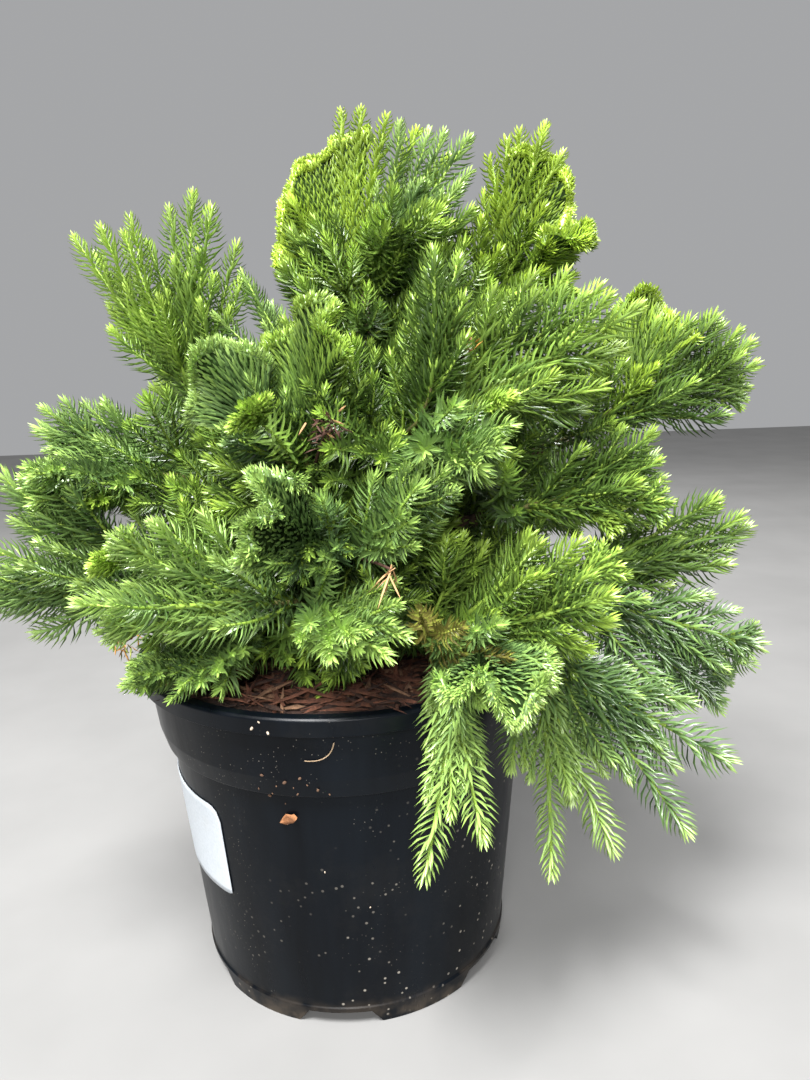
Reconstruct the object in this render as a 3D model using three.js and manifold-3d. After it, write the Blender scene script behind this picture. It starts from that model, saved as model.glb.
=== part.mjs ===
// A crested dwarf conifer in a black nursery pot.
// Millimetres, +Z up. The origin is on the pot's axis at its underside, and -Y faces the viewer.
// The plant grows by one rule: a trunk carries boughs, each bough carries a few masses of foliage,
// and each mass is a short stem with a fan of needled shoots, worked out from the sizes below.

import * as THREE from "three";
import { mergeVertices } from "three/addons/utils/BufferGeometryUtils.js";
import Module from "manifold-3d";

const wasm = await Module();
wasm.setup();

// Clearances
const SEAT_GAP = 0.3; // between two solids that touch on the real plant
const GROWING_GAP = 0.8; // between foliage and anything else it must not touch
const FUSE_TOLERANCE = 0.03; // how far a fused surface may move while its slivers are dropped

// Pot
const POT_FACETS = 32;
const POT_HEIGHT = 151.6;
const RIM_RADIUS = 95;
const RIM_EDGE = 1;
const RIM_WIDTH = 5;
const LIP_HEIGHT = 7.8;
const LIP_LOW_RADIUS = 94;
const COLLAR_LOW_HEIGHT = 114.8;
const COLLAR_LOW_RADIUS = 85.3;
const COLLAR_BEND_HEIGHT = 123;
const COLLAR_BEND_RADIUS = 87.6;
const COLLAR_TOP_RADIUS = 90;
const NECK_RADIUS = 82.4;
const FOOT_HEIGHT = 8.4;
const FOOT_RADIUS = 73.7;
const FOOT_UNDER_RADIUS = 72.6;
const FOOT_LEDGE = 0.7;
const WALL = 1.4;
const FLOOR_TOP = 9.6;

// Drainage channels under the pot
const CHANNELS = 6;
const CHANNEL_FIRST_AZIMUTH = -95.5;
const CHANNEL_HEIGHT = 6.5;
const CHANNEL_TOP_WIDTH = 27;
const CHANNEL_LOW_WIDTH = 38;
const CHANNEL_INNER_RADIUS = 44;
const DRAIN_RADIUS = 5;
const DRAIN_CIRCLE_RADIUS = 58;
const DRAIN_FACETS = 10;

// Growing medium
const SOIL_LEVEL = 143;
const SOIL_FRONT_RISE = 5;
const SOIL_FLAT_RADIUS = 22;
const SOIL_RINGS = [0, SOIL_FLAT_RADIUS, 42, 64];

// Blank label on the pot's left side
const LABEL_FROM_AZIMUTH = 176;
const LABEL_TO_AZIMUTH = 229;
const LABEL_LOW = 56;
const LABEL_HEIGHT = 43;
const LABEL_THICKNESS = 0.5;
const LABEL_CORNER = 7;
const LABEL_COLUMNS = 10;

// Trunk
const TRUNK_TOP = new THREE.Vector3(18, 10, 308);
const TRUNK_RADIUS = 8.5;
const TRUNK_TIP_RADIUS = 3.4;
const FLARE_RADIUS = 4.5; // added at the ground, gone one flare height up
const FLARE_HEIGHT = 9;
const TRUNK_BEND_SHARE = 0.45; // of its height before it starts to lean
const TRUNK_FACETS = 9;
const TRUNK_STEPS = 8;
const TRUNK_SEARCH_STEPS = 6; // to find the place on the trunk at a height

// Boughs: base and tip radius, and how far the middle sags below a straight line
const BOUGH_RADIUS = 4.6;
const BOUGH_TIP_RADIUS = 3.4;
const BOUGH_SAG = 0.05;
const BOUGH_TO_TRUNK = 0.8; // a bough is at most this share of the trunk's thickness where it leaves
const LIMB_START = 0.4; // of the trunk's radius out from its axis, before the trunk's room is cut away
const BOUGH_WOOD_SHARE = 0.74; // of a bough's length is bare wood, and green stems run on from there
const BOUGH_FACETS = 5;
const BOUGH_STEPS = 3;

// Where each bough leaves the trunk, and where its heart, the start of its fans, lies: the height, then
// the azimuth and rise in degrees, and the length.
const BOUGHS = {
  left_high: { height: 215, azimuth: 168, rise: 32, length: 88 },
  left_mid: { height: 203, azimuth: 186, rise: 20, length: 93 },
  left_low: { height: 165, azimuth: 208, rise: 15, length: 90 },
  left_low_front: { height: 158, azimuth: 228, rise: 8, length: 66 },
  front_left_high: { height: 214, azimuth: 256, rise: 20, length: 72 },
  front_centre: { height: 190, azimuth: 274, rise: 12, length: 74 },
  front_low: { height: 176, azimuth: 260, rise: 8, length: 78 },
  centre_front_high: { height: 232, azimuth: 297, rise: 15, length: 78 },
  front_low_right: { height: 167, azimuth: 298, rise: 5, length: 100 },
  right_low_front: { height: 155, azimuth: 323, rise: 5, length: 102 },
  centre_right: { height: 201, azimuth: 331, rise: 9, length: 100 },
  right_low: { height: 179, azimuth: 338, rise: 0, length: 109 },
  right_high: { height: 216, azimuth: 353, rise: 13, length: 130 },
  top_right: { height: 268, azimuth: 2, rise: 28, length: 70 },
  back_right: { height: 192, azimuth: 45, rise: 18, length: 95 },
  back: { height: 180, azimuth: 88, rise: 12, length: 90 },
  back_left: { height: 196, azimuth: 131, rise: 18, length: 95 },
};

// Foliage shoots
const SHOOT_RADIUS = 1.2;
const SHOOT_SWELL = 0.9;
const CORE_SHARE = 0.93; // of a shoot's length, before its pointed end
const SHOOT_STEP = 23; // between two whorls of needles
const NEEDLE_ROOT_SHARE = 0.4; // of a whorl's step, where its needles start
const NEEDLE_FORWARD = 11;
const NEEDLE_OUTWARD = 7.6;
const NEEDLE_ROD_RADIUS = 1.1; // for the clearance test, as is the next
const NEEDLE_FIN_RADIUS = 0.7;
const STEM_RADIUS = 1.3;
const STEM_FACETS = 3;
const STEM_STEPS = 3;
const STEM_SHARE = 0.34; // of the reach
const STEM_STRAIGHT = 0.7; // of the way to the heart that a stem keeps its limb's direction
const STEM_EASE = 0.1; // and the share of the reach that it keeps it after that
const TRUNK_LEAVE_RISE = 40; // degrees, for a stem that leaves the trunk's side
const STEM_INSET = 0.1; // between a stem and the edge of the limb's end
const STEM_TIP_ROOT = 0.95; // where along the stem the middle shoot starts
const STEM_ROOT_SPAN = 0.72; // and how much nearer the stem's foot the outermost shoots do
const TIP_FALL = 0.26; // how much shorter the outermost shoots of a fan are
const TIP_FALL_POWER = 1.5;
const TIP_SCATTER = 0.1; // and how much shorter any shoot may be
const SHOOT_MIDDLE = 0.45; // where along a shoot its bend is set
const SHOOT_BOW = 0.07; // how far the bend follows the stem, as a share of the reach
const SHOOT_SETTLE = 0.04; // and how far it hangs or lifts against the sweep
const CREST_ROWS = 3;
const CREST_RIDGE = 2; // half the sheet's thickness on a rib
const CREST_VALLEY = 0.8; // and between two ribs
const CREST_NOTCH = 0.94; // how far the sheet reaches between two ribs
const CREST_WAVE = 3; // how far the rim swings to either side
const CREST_WAVE_TURN = 1.3; // radians of the wave from one column to the next
const CREST_MARGIN = 2.5; // of sheet outside the outermost ribs, growing to the rim
const CREST_ROOT_MARGIN = 0.4; // the share of it that is there at the root
const CREST_NEEDLE_FORWARD = 6;
const CREST_NEEDLE_OUTWARD = 3.2;

// Masses of foliage. limb is a bough, or the trunk at a height. azimuth, rise and reach lead from the
// limb's heart to the middle tip, breadth is the fan's half angle, depth its half thickness as an angle,
// and roll turns the fan: 0 spreads it level, 90 upright. sweep lifts the tips, in millimetres, and
// skew makes one side of the fan shorter. A crest is a fan whose shoots have grown together.
const MASSES = [
  { name: "spires_left_high", limb: "left_high", azimuth: 153, rise: 61, reach: 94,
    breadth: 20, depth: 8, roll: 80, shoots: 6, sweep: 4 },
  { name: "spires_left_inner", limb: "left_high", azimuth: 80, rise: 74, reach: 104,
    breadth: 18, depth: 8, roll: 0, shoots: 5, sweep: 0 },
  { name: "spray_left_mid", limb: "left_mid", azimuth: 172, rise: 26, reach: 52,
    breadth: 24, depth: 14, roll: 90, shoots: 4, sweep: 2 },
  { name: "spray_left_front", limb: "left_mid", azimuth: 236, rise: -4, reach: 58,
    breadth: 24, depth: 10, roll: 20, shoots: 5, sweep: 3 },
  { name: "spray_left_low_upper", limb: "left_low", azimuth: 174, rise: 38, reach: 80,
    breadth: 14, depth: 12, roll: 90, shoots: 5, sweep: 3 },
  { name: "spray_left_low", limb: "left_low", azimuth: 192, rise: 2, reach: 78,
    breadth: 20, depth: 10, roll: 45, shoots: 5, sweep: 2 },
  { name: "crest_top_left", limb: "trunk", height: 258, azimuth: 90, rise: 78, reach: 140,
    breadth: 27, depth: 3, roll: 5, shoots: 7, sweep: 0, skew: -0.22, crest: true },
  { name: "spires_behind_left", limb: "trunk", height: 246, azimuth: 136, rise: 46, reach: 100,
    breadth: 26, depth: 8, roll: 20, shoots: 5, sweep: 4 },
  { name: "spires_top_centre", limb: "trunk", azimuth: 12, rise: 60, reach: 92,
    breadth: 20, depth: 10, roll: 65, shoots: 5, sweep: 2 },
  { name: "spray_top_front", limb: "trunk", azimuth: 310, rise: 38, reach: 54,
    breadth: 26, depth: 10, roll: 10, shoots: 4, sweep: 0 },
  { name: "crest_top_right", limb: "top_right", azimuth: 32, rise: 67, reach: 84,
    breadth: 22, depth: 3, roll: 55, shoots: 5, sweep: 0, crest: true },
  { name: "crest_right_ledge", limb: "top_right", azimuth: 342, rise: 34, reach: 54,
    breadth: 34, depth: 3, roll: 0, shoots: 5, sweep: 0, crest: true },
  { name: "crest_right_high", limb: "right_high", azimuth: 52, rise: 66, reach: 66,
    breadth: 30, depth: 3, roll: 25, shoots: 5, sweep: 0, crest: true },
  { name: "spray_right_high", limb: "right_high", azimuth: 12, rise: 34, reach: 70,
    breadth: 24, depth: 10, roll: 90, shoots: 6, sweep: 2 },
  { name: "spires_centre_dark", limb: "centre_front_high", azimuth: 60, rise: 84, reach: 68,
    breadth: 16, depth: 10, roll: 0, shoots: 5, sweep: 0 },
  { name: "fan_centre_right", limb: "centre_front_high", azimuth: 14, rise: 30, reach: 92,
    breadth: 26, depth: 6, roll: 85, shoots: 6, sweep: 3 },
  { name: "spray_centre_front", limb: "centre_front_high", azimuth: 286, rise: -18, reach: 46,
    breadth: 38, depth: 12, roll: 30, shoots: 5, sweep: 4 },
  { name: "crest_wave_left", limb: "front_left_high", azimuth: 184, rise: 54, reach: 56,
    breadth: 30, depth: 4, roll: 85, shoots: 6, sweep: 0, crest: true },
  { name: "crest_wave_right", limb: "front_left_high", azimuth: 40, rise: 78, reach: 64,
    breadth: 26, depth: 4, roll: 10, shoots: 5, sweep: 0, crest: true },
  { name: "crest_front", limb: "front_centre", azimuth: 225, rise: 28, reach: 56,
    breadth: 28, depth: 4, roll: 80, shoots: 6, sweep: 0, crest: true },
  { name: "spray_front_right", limb: "front_centre", azimuth: 322, rise: 38, reach: 56,
    breadth: 24, depth: 10, roll: 40, shoots: 5, sweep: 2 },
  { name: "spray_front_left", limb: "front_low", azimuth: 192, rise: 14, reach: 78,
    breadth: 24, depth: 12, roll: 60, shoots: 5, sweep: 2 },
  { name: "spray_front_knob", limb: "front_low", azimuth: 304, rise: 6, reach: 56,
    breadth: 24, depth: 14, roll: 20, shoots: 5, sweep: 0 },
  { name: "crest_front_low", limb: "front_low_right", azimuth: 296, rise: -6, reach: 40,
    breadth: 55, depth: 5, roll: 0, shoots: 6, sweep: -4, crest: true },
  { name: "spray_front_bright", limb: "front_low_right", azimuth: 342, rise: 26, reach: 62,
    breadth: 32, depth: 10, roll: 80, shoots: 6, sweep: 2 },
  { name: "hanging_front", limb: "front_low_right", azimuth: 250, rise: -64, reach: 92,
    breadth: 16, depth: 6, roll: 0, shoots: 4, sweep: 0 },
  { name: "hanging_right_front", limb: "right_low_front", azimuth: 294, rise: -66, reach: 98,
    breadth: 26, depth: 6, roll: 0, shoots: 5, sweep: 0 },
  { name: "hanging_right", limb: "right_low_front", azimuth: 350, rise: -44, reach: 105,
    breadth: 26, depth: 8, roll: 70, shoots: 5, sweep: 0 },
  { name: "spray_pot_edge", limb: "left_low_front", azimuth: 245, rise: -4, reach: 46,
    breadth: 50, depth: 8, roll: 5, shoots: 6, sweep: 2 },
  { name: "spray_centre_right", limb: "centre_right", azimuth: 2, rise: 22, reach: 52,
    breadth: 30, depth: 12, roll: 80, shoots: 5, sweep: 2 },
  { name: "spires_right", limb: "right_low", azimuth: 14, rise: 14, reach: 88,
    breadth: 15, depth: 8, roll: 80, shoots: 6, sweep: 4 },
  { name: "spray_right_low", limb: "right_low", azimuth: 4, rise: -33, reach: 98,
    breadth: 20, depth: 10, roll: 90, shoots: 5, sweep: -2 },
  { name: "spray_back_right_high", limb: "back_right", azimuth: 52, rise: 38, reach: 84,
    breadth: 32, depth: 14, roll: 10, shoots: 5, sweep: 4 },
  { name: "spray_back_right_low", limb: "back_right", azimuth: 20, rise: -20, reach: 92,
    breadth: 30, depth: 14, roll: 20, shoots: 5, sweep: 4 },
  { name: "spray_back_left_high", limb: "back_left", azimuth: 128, rise: 36, reach: 80,
    breadth: 32, depth: 14, roll: 10, shoots: 5, sweep: 4 },
  { name: "spray_back_left_low", limb: "back_left", azimuth: 166, rise: -14, reach: 82,
    breadth: 32, depth: 14, roll: 20, shoots: 5, sweep: 4 },
  { name: "spray_back_low", limb: "back", azimuth: 90, rise: -12, reach: 66,
    breadth: 58, depth: 14, roll: 0, shoots: 6, sweep: 6 },
  { name: "spires_back_high", limb: "trunk", height: 254, azimuth: 70, rise: 48, reach: 98,
    breadth: 30, depth: 12, roll: 0, shoots: 5, sweep: 4 },
];

// Colours
const BLACK_PLASTIC = 0x1d2024;
const BROWN_BARK_CHIPS = 0x4a2a1c;
const WHITE_PAPER = 0xe8ebef;
const BROWN_BARK = 0x6b4a35;
const SPRAY_GREEN = 0x5f9a35;
const CREST_GREEN = 0x8dbb3a;

const UP = new THREE.Vector3(0, 0, 1);

function standardMaterial(color, roughness) {
  return new THREE.MeshStandardMaterial({ color, roughness, metalness: 0 });
}

function bearing(azimuth, rise) {
  const turn = THREE.MathUtils.degToRad(azimuth);
  const lift = THREE.MathUtils.degToRad(rise);
  return new THREE.Vector3(
    Math.cos(lift) * Math.cos(turn),
    Math.cos(lift) * Math.sin(turn),
    Math.sin(lift),
  );
}

// A repeatable number from 0 to 1 for any pair of whole numbers.
function scatter(a, b) {
  const wave = Math.sin(a * 12.9898 + b * 78.233) * 43758.5453;
  return wave - Math.floor(wave);
}

function along(origin, direction, distance) {
  return origin.clone().addScaledVector(direction, distance);
}

// Closed solids, joined and cut

function toSolid(geometry) {
  const bare = geometry.clone();
  bare.deleteAttribute("normal");
  bare.deleteAttribute("uv");
  const merged = mergeVertices(bare, 1e-3);
  return new wasm.Manifold(
    new wasm.Mesh({
      numProp: 3,
      vertProperties: merged.attributes.position.array,
      triVerts: new Uint32Array(merged.index.array),
    }),
  );
}

function toGeometry(solid) {
  const mesh = solid.getMesh();
  const geometry = new THREE.BufferGeometry();
  geometry.setAttribute("position", new THREE.BufferAttribute(mesh.vertProperties, 3));
  geometry.setIndex(new THREE.BufferAttribute(mesh.triVerts, 1));
  geometry.computeVertexNormals();
  return geometry;
}

function indexedGeometry(points, triangles) {
  const geometry = new THREE.BufferGeometry();
  geometry.setFromPoints(points);
  geometry.setIndex(triangles.flat());
  return geometry;
}

// The largest body of a solid, which fills a sealed hollow and drops a loose scrap.
function mainBody(solid) {
  const bodies = solid.simplify(FUSE_TOLERANCE).decompose();
  return bodies.reduce((best, body) => (body.volume() > best.volume() ? body : best));
}

function fuse(solids) {
  return mainBody(solids.reduce((sum, solid) => sum.add(solid)));
}

// A round body turned about the upright axis, from [radius, height] pairs that run up its outside.
function turned(outline) {
  const profile = outline.map(([radius, height]) => new THREE.Vector2(radius, height));
  return new THREE.LatheGeometry(profile, POT_FACETS).rotateX(Math.PI / 2);
}

// Pot

const LIP_LOW_HEIGHT = POT_HEIGHT - LIP_HEIGHT;

const POT_OUTSIDE = [
  [FOOT_UNDER_RADIUS, 0],
  [FOOT_RADIUS, FOOT_HEIGHT],
  [FOOT_RADIUS - FOOT_LEDGE, FOOT_HEIGHT + FOOT_LEDGE],
  [NECK_RADIUS, COLLAR_LOW_HEIGHT - FOOT_LEDGE],
  [COLLAR_LOW_RADIUS, COLLAR_LOW_HEIGHT],
  [COLLAR_BEND_RADIUS, COLLAR_BEND_HEIGHT],
  [COLLAR_TOP_RADIUS, LIP_LOW_HEIGHT],
  [LIP_LOW_RADIUS, LIP_LOW_HEIGHT],
  [RIM_RADIUS, POT_HEIGHT - RIM_EDGE],
  [RIM_RADIUS - RIM_EDGE, POT_HEIGHT],
];

const POT_INSIDE = [
  [RIM_RADIUS - RIM_WIDTH, POT_HEIGHT],
  [COLLAR_TOP_RADIUS - WALL, LIP_LOW_HEIGHT],
  [COLLAR_BEND_RADIUS - WALL, COLLAR_BEND_HEIGHT],
  [NECK_RADIUS - WALL, COLLAR_LOW_HEIGHT],
  [FOOT_RADIUS - FOOT_LEDGE - WALL, FLOOR_TOP],
];

// The radius of an outline at a height, whichever way its points run.
function radiusAt(outline, height) {
  for (let i = 1; i < outline.length; i += 1) {
    const [nearRadius, nearHeight] = outline[i - 1];
    const [farRadius, farHeight] = outline[i];
    const low = Math.min(nearHeight, farHeight);
    const high = Math.max(nearHeight, farHeight);
    if (height >= low && height <= high && high > low) {
      const share = (height - nearHeight) / (farHeight - nearHeight);
      return nearRadius + share * (farRadius - nearRadius);
    }
  }
  return outline[0][0];
}

function drainageChannel(azimuth) {
  const section = new THREE.Shape([
    new THREE.Vector2(-CHANNEL_LOW_WIDTH / 2, -1),
    new THREE.Vector2(CHANNEL_LOW_WIDTH / 2, -1),
    new THREE.Vector2(CHANNEL_TOP_WIDTH / 2, CHANNEL_HEIGHT),
    new THREE.Vector2(-CHANNEL_TOP_WIDTH / 2, CHANNEL_HEIGHT),
  ]);
  const depth = RIM_RADIUS - CHANNEL_INNER_RADIUS;
  return new THREE.ExtrudeGeometry(section, { depth, bevelEnabled: false, steps: 1 })
    .rotateX(Math.PI / 2)
    .rotateZ(Math.PI / 2)
    .translate(CHANNEL_INNER_RADIUS, 0, 0)
    .rotateZ(THREE.MathUtils.degToRad(azimuth));
}

function drainHole(azimuth) {
  return new THREE.CylinderGeometry(DRAIN_RADIUS, DRAIN_RADIUS, 2 * FLOOR_TOP, DRAIN_FACETS)
    .rotateX(Math.PI / 2)
    .translate(DRAIN_CIRCLE_RADIUS, 0, FLOOR_TOP)
    .rotateZ(THREE.MathUtils.degToRad(azimuth));
}

function pot() {
  let shell = toSolid(turned([[0, 0], ...POT_OUTSIDE, ...POT_INSIDE, [0, FLOOR_TOP]]));
  for (let i = 0; i < CHANNELS; i += 1) {
    const azimuth = CHANNEL_FIRST_AZIMUTH + (360 / CHANNELS) * i;
    shell = shell.subtract(toSolid(drainageChannel(azimuth)));
    shell = shell.subtract(toSolid(drainHole(azimuth)));
  }
  return toGeometry(shell);
}

// Growing medium: bark compost, heaped a little towards the front

function soilHeight(x, y) {
  const radius = Math.hypot(x, y);
  const heap = THREE.MathUtils.smoothstep(radius, SOIL_FLAT_RADIUS, NECK_RADIUS);
  const front = THREE.MathUtils.clamp(-y / NECK_RADIUS, 0, 1);
  const bumps = Math.sin(x / 9) * Math.cos(y / 11);
  return SOIL_LEVEL + heap * (SOIL_FRONT_RISE * front + bumps);
}

function growingMedium() {
  const floor = FLOOR_TOP + SEAT_GAP;
  const side = [...POT_INSIDE]
    .reverse()
    .filter(([, height]) => height > floor && height < SOIL_LEVEL)
    .map(([radius, height]) => [radius - 2 * SEAT_GAP, height]);
  const foot = [radiusAt(POT_INSIDE, floor) - 2 * SEAT_GAP, floor];
  const brim = [radiusAt(POT_INSIDE, SOIL_LEVEL) - 2 * SEAT_GAP, SOIL_LEVEL];
  const top = SOIL_RINGS.map((radius) => [radius, SOIL_LEVEL]).reverse();
  const geometry = turned([[0, floor], foot, ...side, brim, ...top]);
  const position = geometry.attributes.position;
  for (let i = 0; i < position.count; i += 1) {
    if (position.getZ(i) > SOIL_LEVEL - SEAT_GAP) {
      position.setZ(i, soilHeight(position.getX(i), position.getY(i)));
    }
  }
  return toGeometry(toSolid(geometry));
}

// Label: a bent sheet that follows the pot's wall, with one pair of round corners at its right end

function label() {
  const inner = [];
  const outer = [];
  for (let column = 0; column <= LABEL_COLUMNS; column += 1) {
    const share = column / LABEL_COLUMNS;
    const azimuth = LABEL_FROM_AZIMUTH + share * (LABEL_TO_AZIMUTH - LABEL_FROM_AZIMUTH);
    const toEnd = (1 - share) * LABEL_COLUMNS;
    const cut = LABEL_CORNER * Math.max(0, 1 - toEnd) ** 2;
    for (const height of [LABEL_LOW + cut / 2, LABEL_LOW + LABEL_HEIGHT - cut]) {
      const wall = radiusAt(POT_OUTSIDE, height) + SEAT_GAP;
      const heading = bearing(azimuth, 0);
      inner.push(along(new THREE.Vector3(0, 0, height), heading, wall));
      outer.push(along(new THREE.Vector3(0, 0, height), heading, wall + LABEL_THICKNESS));
    }
  }
  const points = [...inner, ...outer];
  const back = inner.length;
  const quads = [];
  for (let i = 0; i < back - 2; i += 2) {
    quads.push([i, i + 1, i + 3, i + 2]);
    quads.push([back + i, back + i + 2, back + i + 3, back + i + 1]);
    quads.push([i, i + 2, back + i + 2, back + i]);
    quads.push([i + 1, back + i + 1, back + i + 3, i + 3]);
  }
  quads.push([0, back, back + 1, 1]);
  quads.push([back - 2, back - 1, 2 * back - 1, 2 * back - 2]);
  const triangles = quads.flatMap(([a, b, c, d]) => [[a, b, c], [a, c, d]]);
  return indexedGeometry(points, triangles);
}

// Limbs: tapering rods bent along a curve

// A frame at a point of a curve that bends in one plane: its tangent and two square directions.
function frameOn(curve, share) {
  const tangent = curve.getTangent(share);
  const { v0, v1, v2 } = curve;
  const binormal = v1.clone().sub(v0).cross(v2.clone().sub(v1));
  if (binormal.length() < 1e-3) {
    binormal.crossVectors(tangent, Math.abs(tangent.z) > 0.9 ? new THREE.Vector3(1, 0, 0) : UP);
  }
  binormal.normalize();
  const normal = new THREE.Vector3().crossVectors(binormal, tangent).normalize();
  return { tangent, normal, binormal };
}

function bentRod(curve, radiusOf, facets, steps) {
  const geometry = new THREE.CylinderGeometry(1, 1, 1, facets, steps);
  const position = geometry.attributes.position;
  for (let i = 0; i < position.count; i += 1) {
    const share = position.getY(i) + 0.5;
    const { normal, binormal } = frameOn(curve, share);
    const radius = radiusOf(share);
    const place = curve
      .getPoint(share)
      .addScaledVector(normal, -position.getX(i) * radius)
      .addScaledVector(binormal, position.getZ(i) * radius);
    position.setXYZ(i, place.x, place.y, place.z);
  }
  return geometry;
}

const TRUNK_FOOT = new THREE.Vector3(0, 0, SOIL_LEVEL + SEAT_GAP);
const TRUNK_HEIGHT = TRUNK_TOP.z - TRUNK_FOOT.z;
const trunkCurve = new THREE.QuadraticBezierCurve3(
  TRUNK_FOOT,
  along(TRUNK_FOOT, UP, TRUNK_HEIGHT * TRUNK_BEND_SHARE),
  TRUNK_TOP,
);

function trunkRadius(share) {
  const flare = Math.exp((-share * TRUNK_HEIGHT) / FLARE_HEIGHT);
  const taper = THREE.MathUtils.lerp(TRUNK_RADIUS, TRUNK_TIP_RADIUS, share);
  return taper + FLARE_RADIUS * flare;
}

// The trunk's place and thickness at a height above the ground.
function trunkAt(height) {
  const share = (height - TRUNK_FOOT.z) / TRUNK_HEIGHT;
  let best = share;
  for (let i = 0; i < TRUNK_SEARCH_STEPS; i += 1) {
    best += (height - trunkCurve.getPoint(best).z) / TRUNK_HEIGHT;
  }
  return { place: trunkCurve.getPoint(best), radius: trunkRadius(best) };
}

function bough({ height, azimuth, rise, length }) {
  const { place, radius } = trunkAt(height);
  const heading = bearing(azimuth, rise);
  const baseRadius = Math.min(BOUGH_RADIUS, radius * BOUGH_TO_TRUNK);
  const start = along(place, heading, radius * LIMB_START);
  const end = along(place, heading, length * BOUGH_WOOD_SHARE);
  const middle = along(start.clone().lerp(end, 0.5), UP, -BOUGH_SAG * length);
  return {
    curve: new THREE.QuadraticBezierCurve3(start, middle, end),
    radiusOf: (share) => THREE.MathUtils.lerp(baseRadius, BOUGH_TIP_RADIUS, share),
    steps: BOUGH_STEPS,
    heart: along(place, heading, length),
  };
}

const limbs = {
  trunk: { curve: trunkCurve, radiusOf: trunkRadius, steps: TRUNK_STEPS, heart: TRUNK_TOP },
};
for (const [name, sizes] of Object.entries(BOUGHS)) {
  limbs[name] = bough(sizes);
}

// Room for foliage: everything placed so far, as round-ended rods

const rods = [];
const POT_TESTS = 3; // places along a rod that are tested against the pot

function addRod(mass, shoot, from, to, radius) {
  rods.push({ mass, shoot, from: from.clone(), to: to.clone(), radius });
}

function addCurveRods(mass, shoot, curve, radiusOf, steps) {
  for (let i = 0; i < steps; i += 1) {
    const radius = radiusOf((i + 0.5) / steps);
    addRod(mass, shoot, curve.getPoint(i / steps), curve.getPoint((i + 1) / steps), radius);
  }
}

// The least distance between two straight pieces.
function pieceDistance(a, b, c, d) {
  const first = b.clone().sub(a);
  const second = d.clone().sub(c);
  const offset = a.clone().sub(c);
  const aa = first.dot(first);
  const bb = second.dot(second);
  const ab = first.dot(second);
  const ao = first.dot(offset);
  const bo = second.dot(offset);
  const square = aa * bb - ab * ab;
  const clamp = THREE.MathUtils.clamp;
  let s = square > 1e-9 ? clamp((ab * bo - ao * bb) / square, 0, 1) : 0;
  const t = clamp((ab * s + bo) / bb, 0, 1);
  s = clamp((ab * t - ao) / aa, 0, 1);
  return along(a, first, s).distanceTo(along(c, second, t));
}

function clearOfPot(place, margin) {
  if (place.z > POT_HEIGHT + margin) {
    return true;
  }
  const radius = Math.hypot(place.x, place.y);
  if (radius < radiusAt(POT_INSIDE, place.z) - margin) {
    return place.z > soilHeight(place.x, place.y) + margin;
  }
  const height = Math.max(place.z, 0);
  const nearby = [height - margin, height, height + margin];
  const wall = Math.max(...nearby.map((z) => radiusAt(POT_OUTSIDE, THREE.MathUtils.clamp(z, 0, POT_HEIGHT))));
  return radius > wall + margin;
}

// Whether a rod is clear of the pot, the growing medium and every rod that isOwn doesn't excuse.
function isClear(from, to, radius, isOwn) {
  for (let i = 0; i <= POT_TESTS; i += 1) {
    if (!clearOfPot(from.clone().lerp(to, i / POT_TESTS), radius + GROWING_GAP)) {
      return false;
    }
  }
  return rods.every((rod) => {
    const need = radius + rod.radius + GROWING_GAP;
    return isOwn(rod) || pieceDistance(from, to, rod.from, rod.to) > need;
  });
}

function isCurveClear(mass, curve, radiusOf, steps) {
  for (let i = 0; i < steps; i += 1) {
    const from = curve.getPoint(i / steps);
    const to = curve.getPoint((i + 1) / steps);
    if (!isClear(from, to, radiusOf((i + 0.5) / steps), (rod) => rod.mass === mass)) {
      return false;
    }
  }
  return true;
}

// Foliage: where each mass's stem and shoots run

// Two or three stems share the flat end of a limb, in the order of the directions they leave in.
function stemFoot(mass) {
  if (mass.height) {
    const { place, radius } = trunkAt(mass.height);
    const outward = bearing(mass.azimuth, 0);
    return {
      foot: along(place, outward, radius * LIMB_START),
      heart: along(place, outward, radius + STEM_RADIUS),
      leave: bearing(mass.azimuth, TRUNK_LEAVE_RISE),
    };
  }
  const { curve, radiusOf, heart } = limbs[mass.limb];
  const { tangent, normal, binormal } = frameOn(curve, 1);
  const turnOf = ({ azimuth, rise }) => {
    const aim = bearing(azimuth, rise);
    return Math.atan2(aim.dot(binormal), aim.dot(normal));
  };
  const group = MASSES.filter(({ limb, height }) => limb === mass.limb && !height);
  const turns = group.map(turnOf).sort((a, b) => a - b);
  const spacing = (2 * Math.PI) / group.length;
  const first = turns.reduce((sum, turn, i) => sum + turn - i * spacing, 0) / group.length;
  const turn = first + turns.indexOf(turnOf(mass)) * spacing;
  const offset = group.length > 1 ? radiusOf(1) - STEM_RADIUS - STEM_INSET : 0;
  const foot = along(curve.getPoint(1), tangent, SEAT_GAP)
    .addScaledVector(normal, Math.cos(turn) * offset)
    .addScaledVector(binormal, Math.sin(turn) * offset);
  return { foot, heart, leave: tangent };
}

function planMass(mass) {
  const { foot, heart, leave } = stemFoot(mass);
  const aim = bearing(mass.azimuth, mass.rise);
  const turn = THREE.MathUtils.degToRad(mass.azimuth);
  const level = new THREE.Vector3(-Math.sin(turn), Math.cos(turn), 0);
  const upright = new THREE.Vector3().crossVectors(aim, level);
  const roll = THREE.MathUtils.degToRad(mass.roll);
  const side = level.clone().multiplyScalar(Math.cos(roll)).addScaledVector(upright, Math.sin(roll));
  const face = level.clone().multiplyScalar(-Math.sin(roll)).addScaledVector(upright, Math.cos(roll));
  const stemEnd = along(heart, aim, mass.reach * STEM_SHARE);
  const straight = foot.distanceTo(heart) * STEM_STRAIGHT + mass.reach * STEM_EASE;
  const stem = new THREE.QuadraticBezierCurve3(foot, along(foot, leave, straight), stemEnd);
  return { ...mass, heart, aim, side, face, stem };
}

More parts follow.
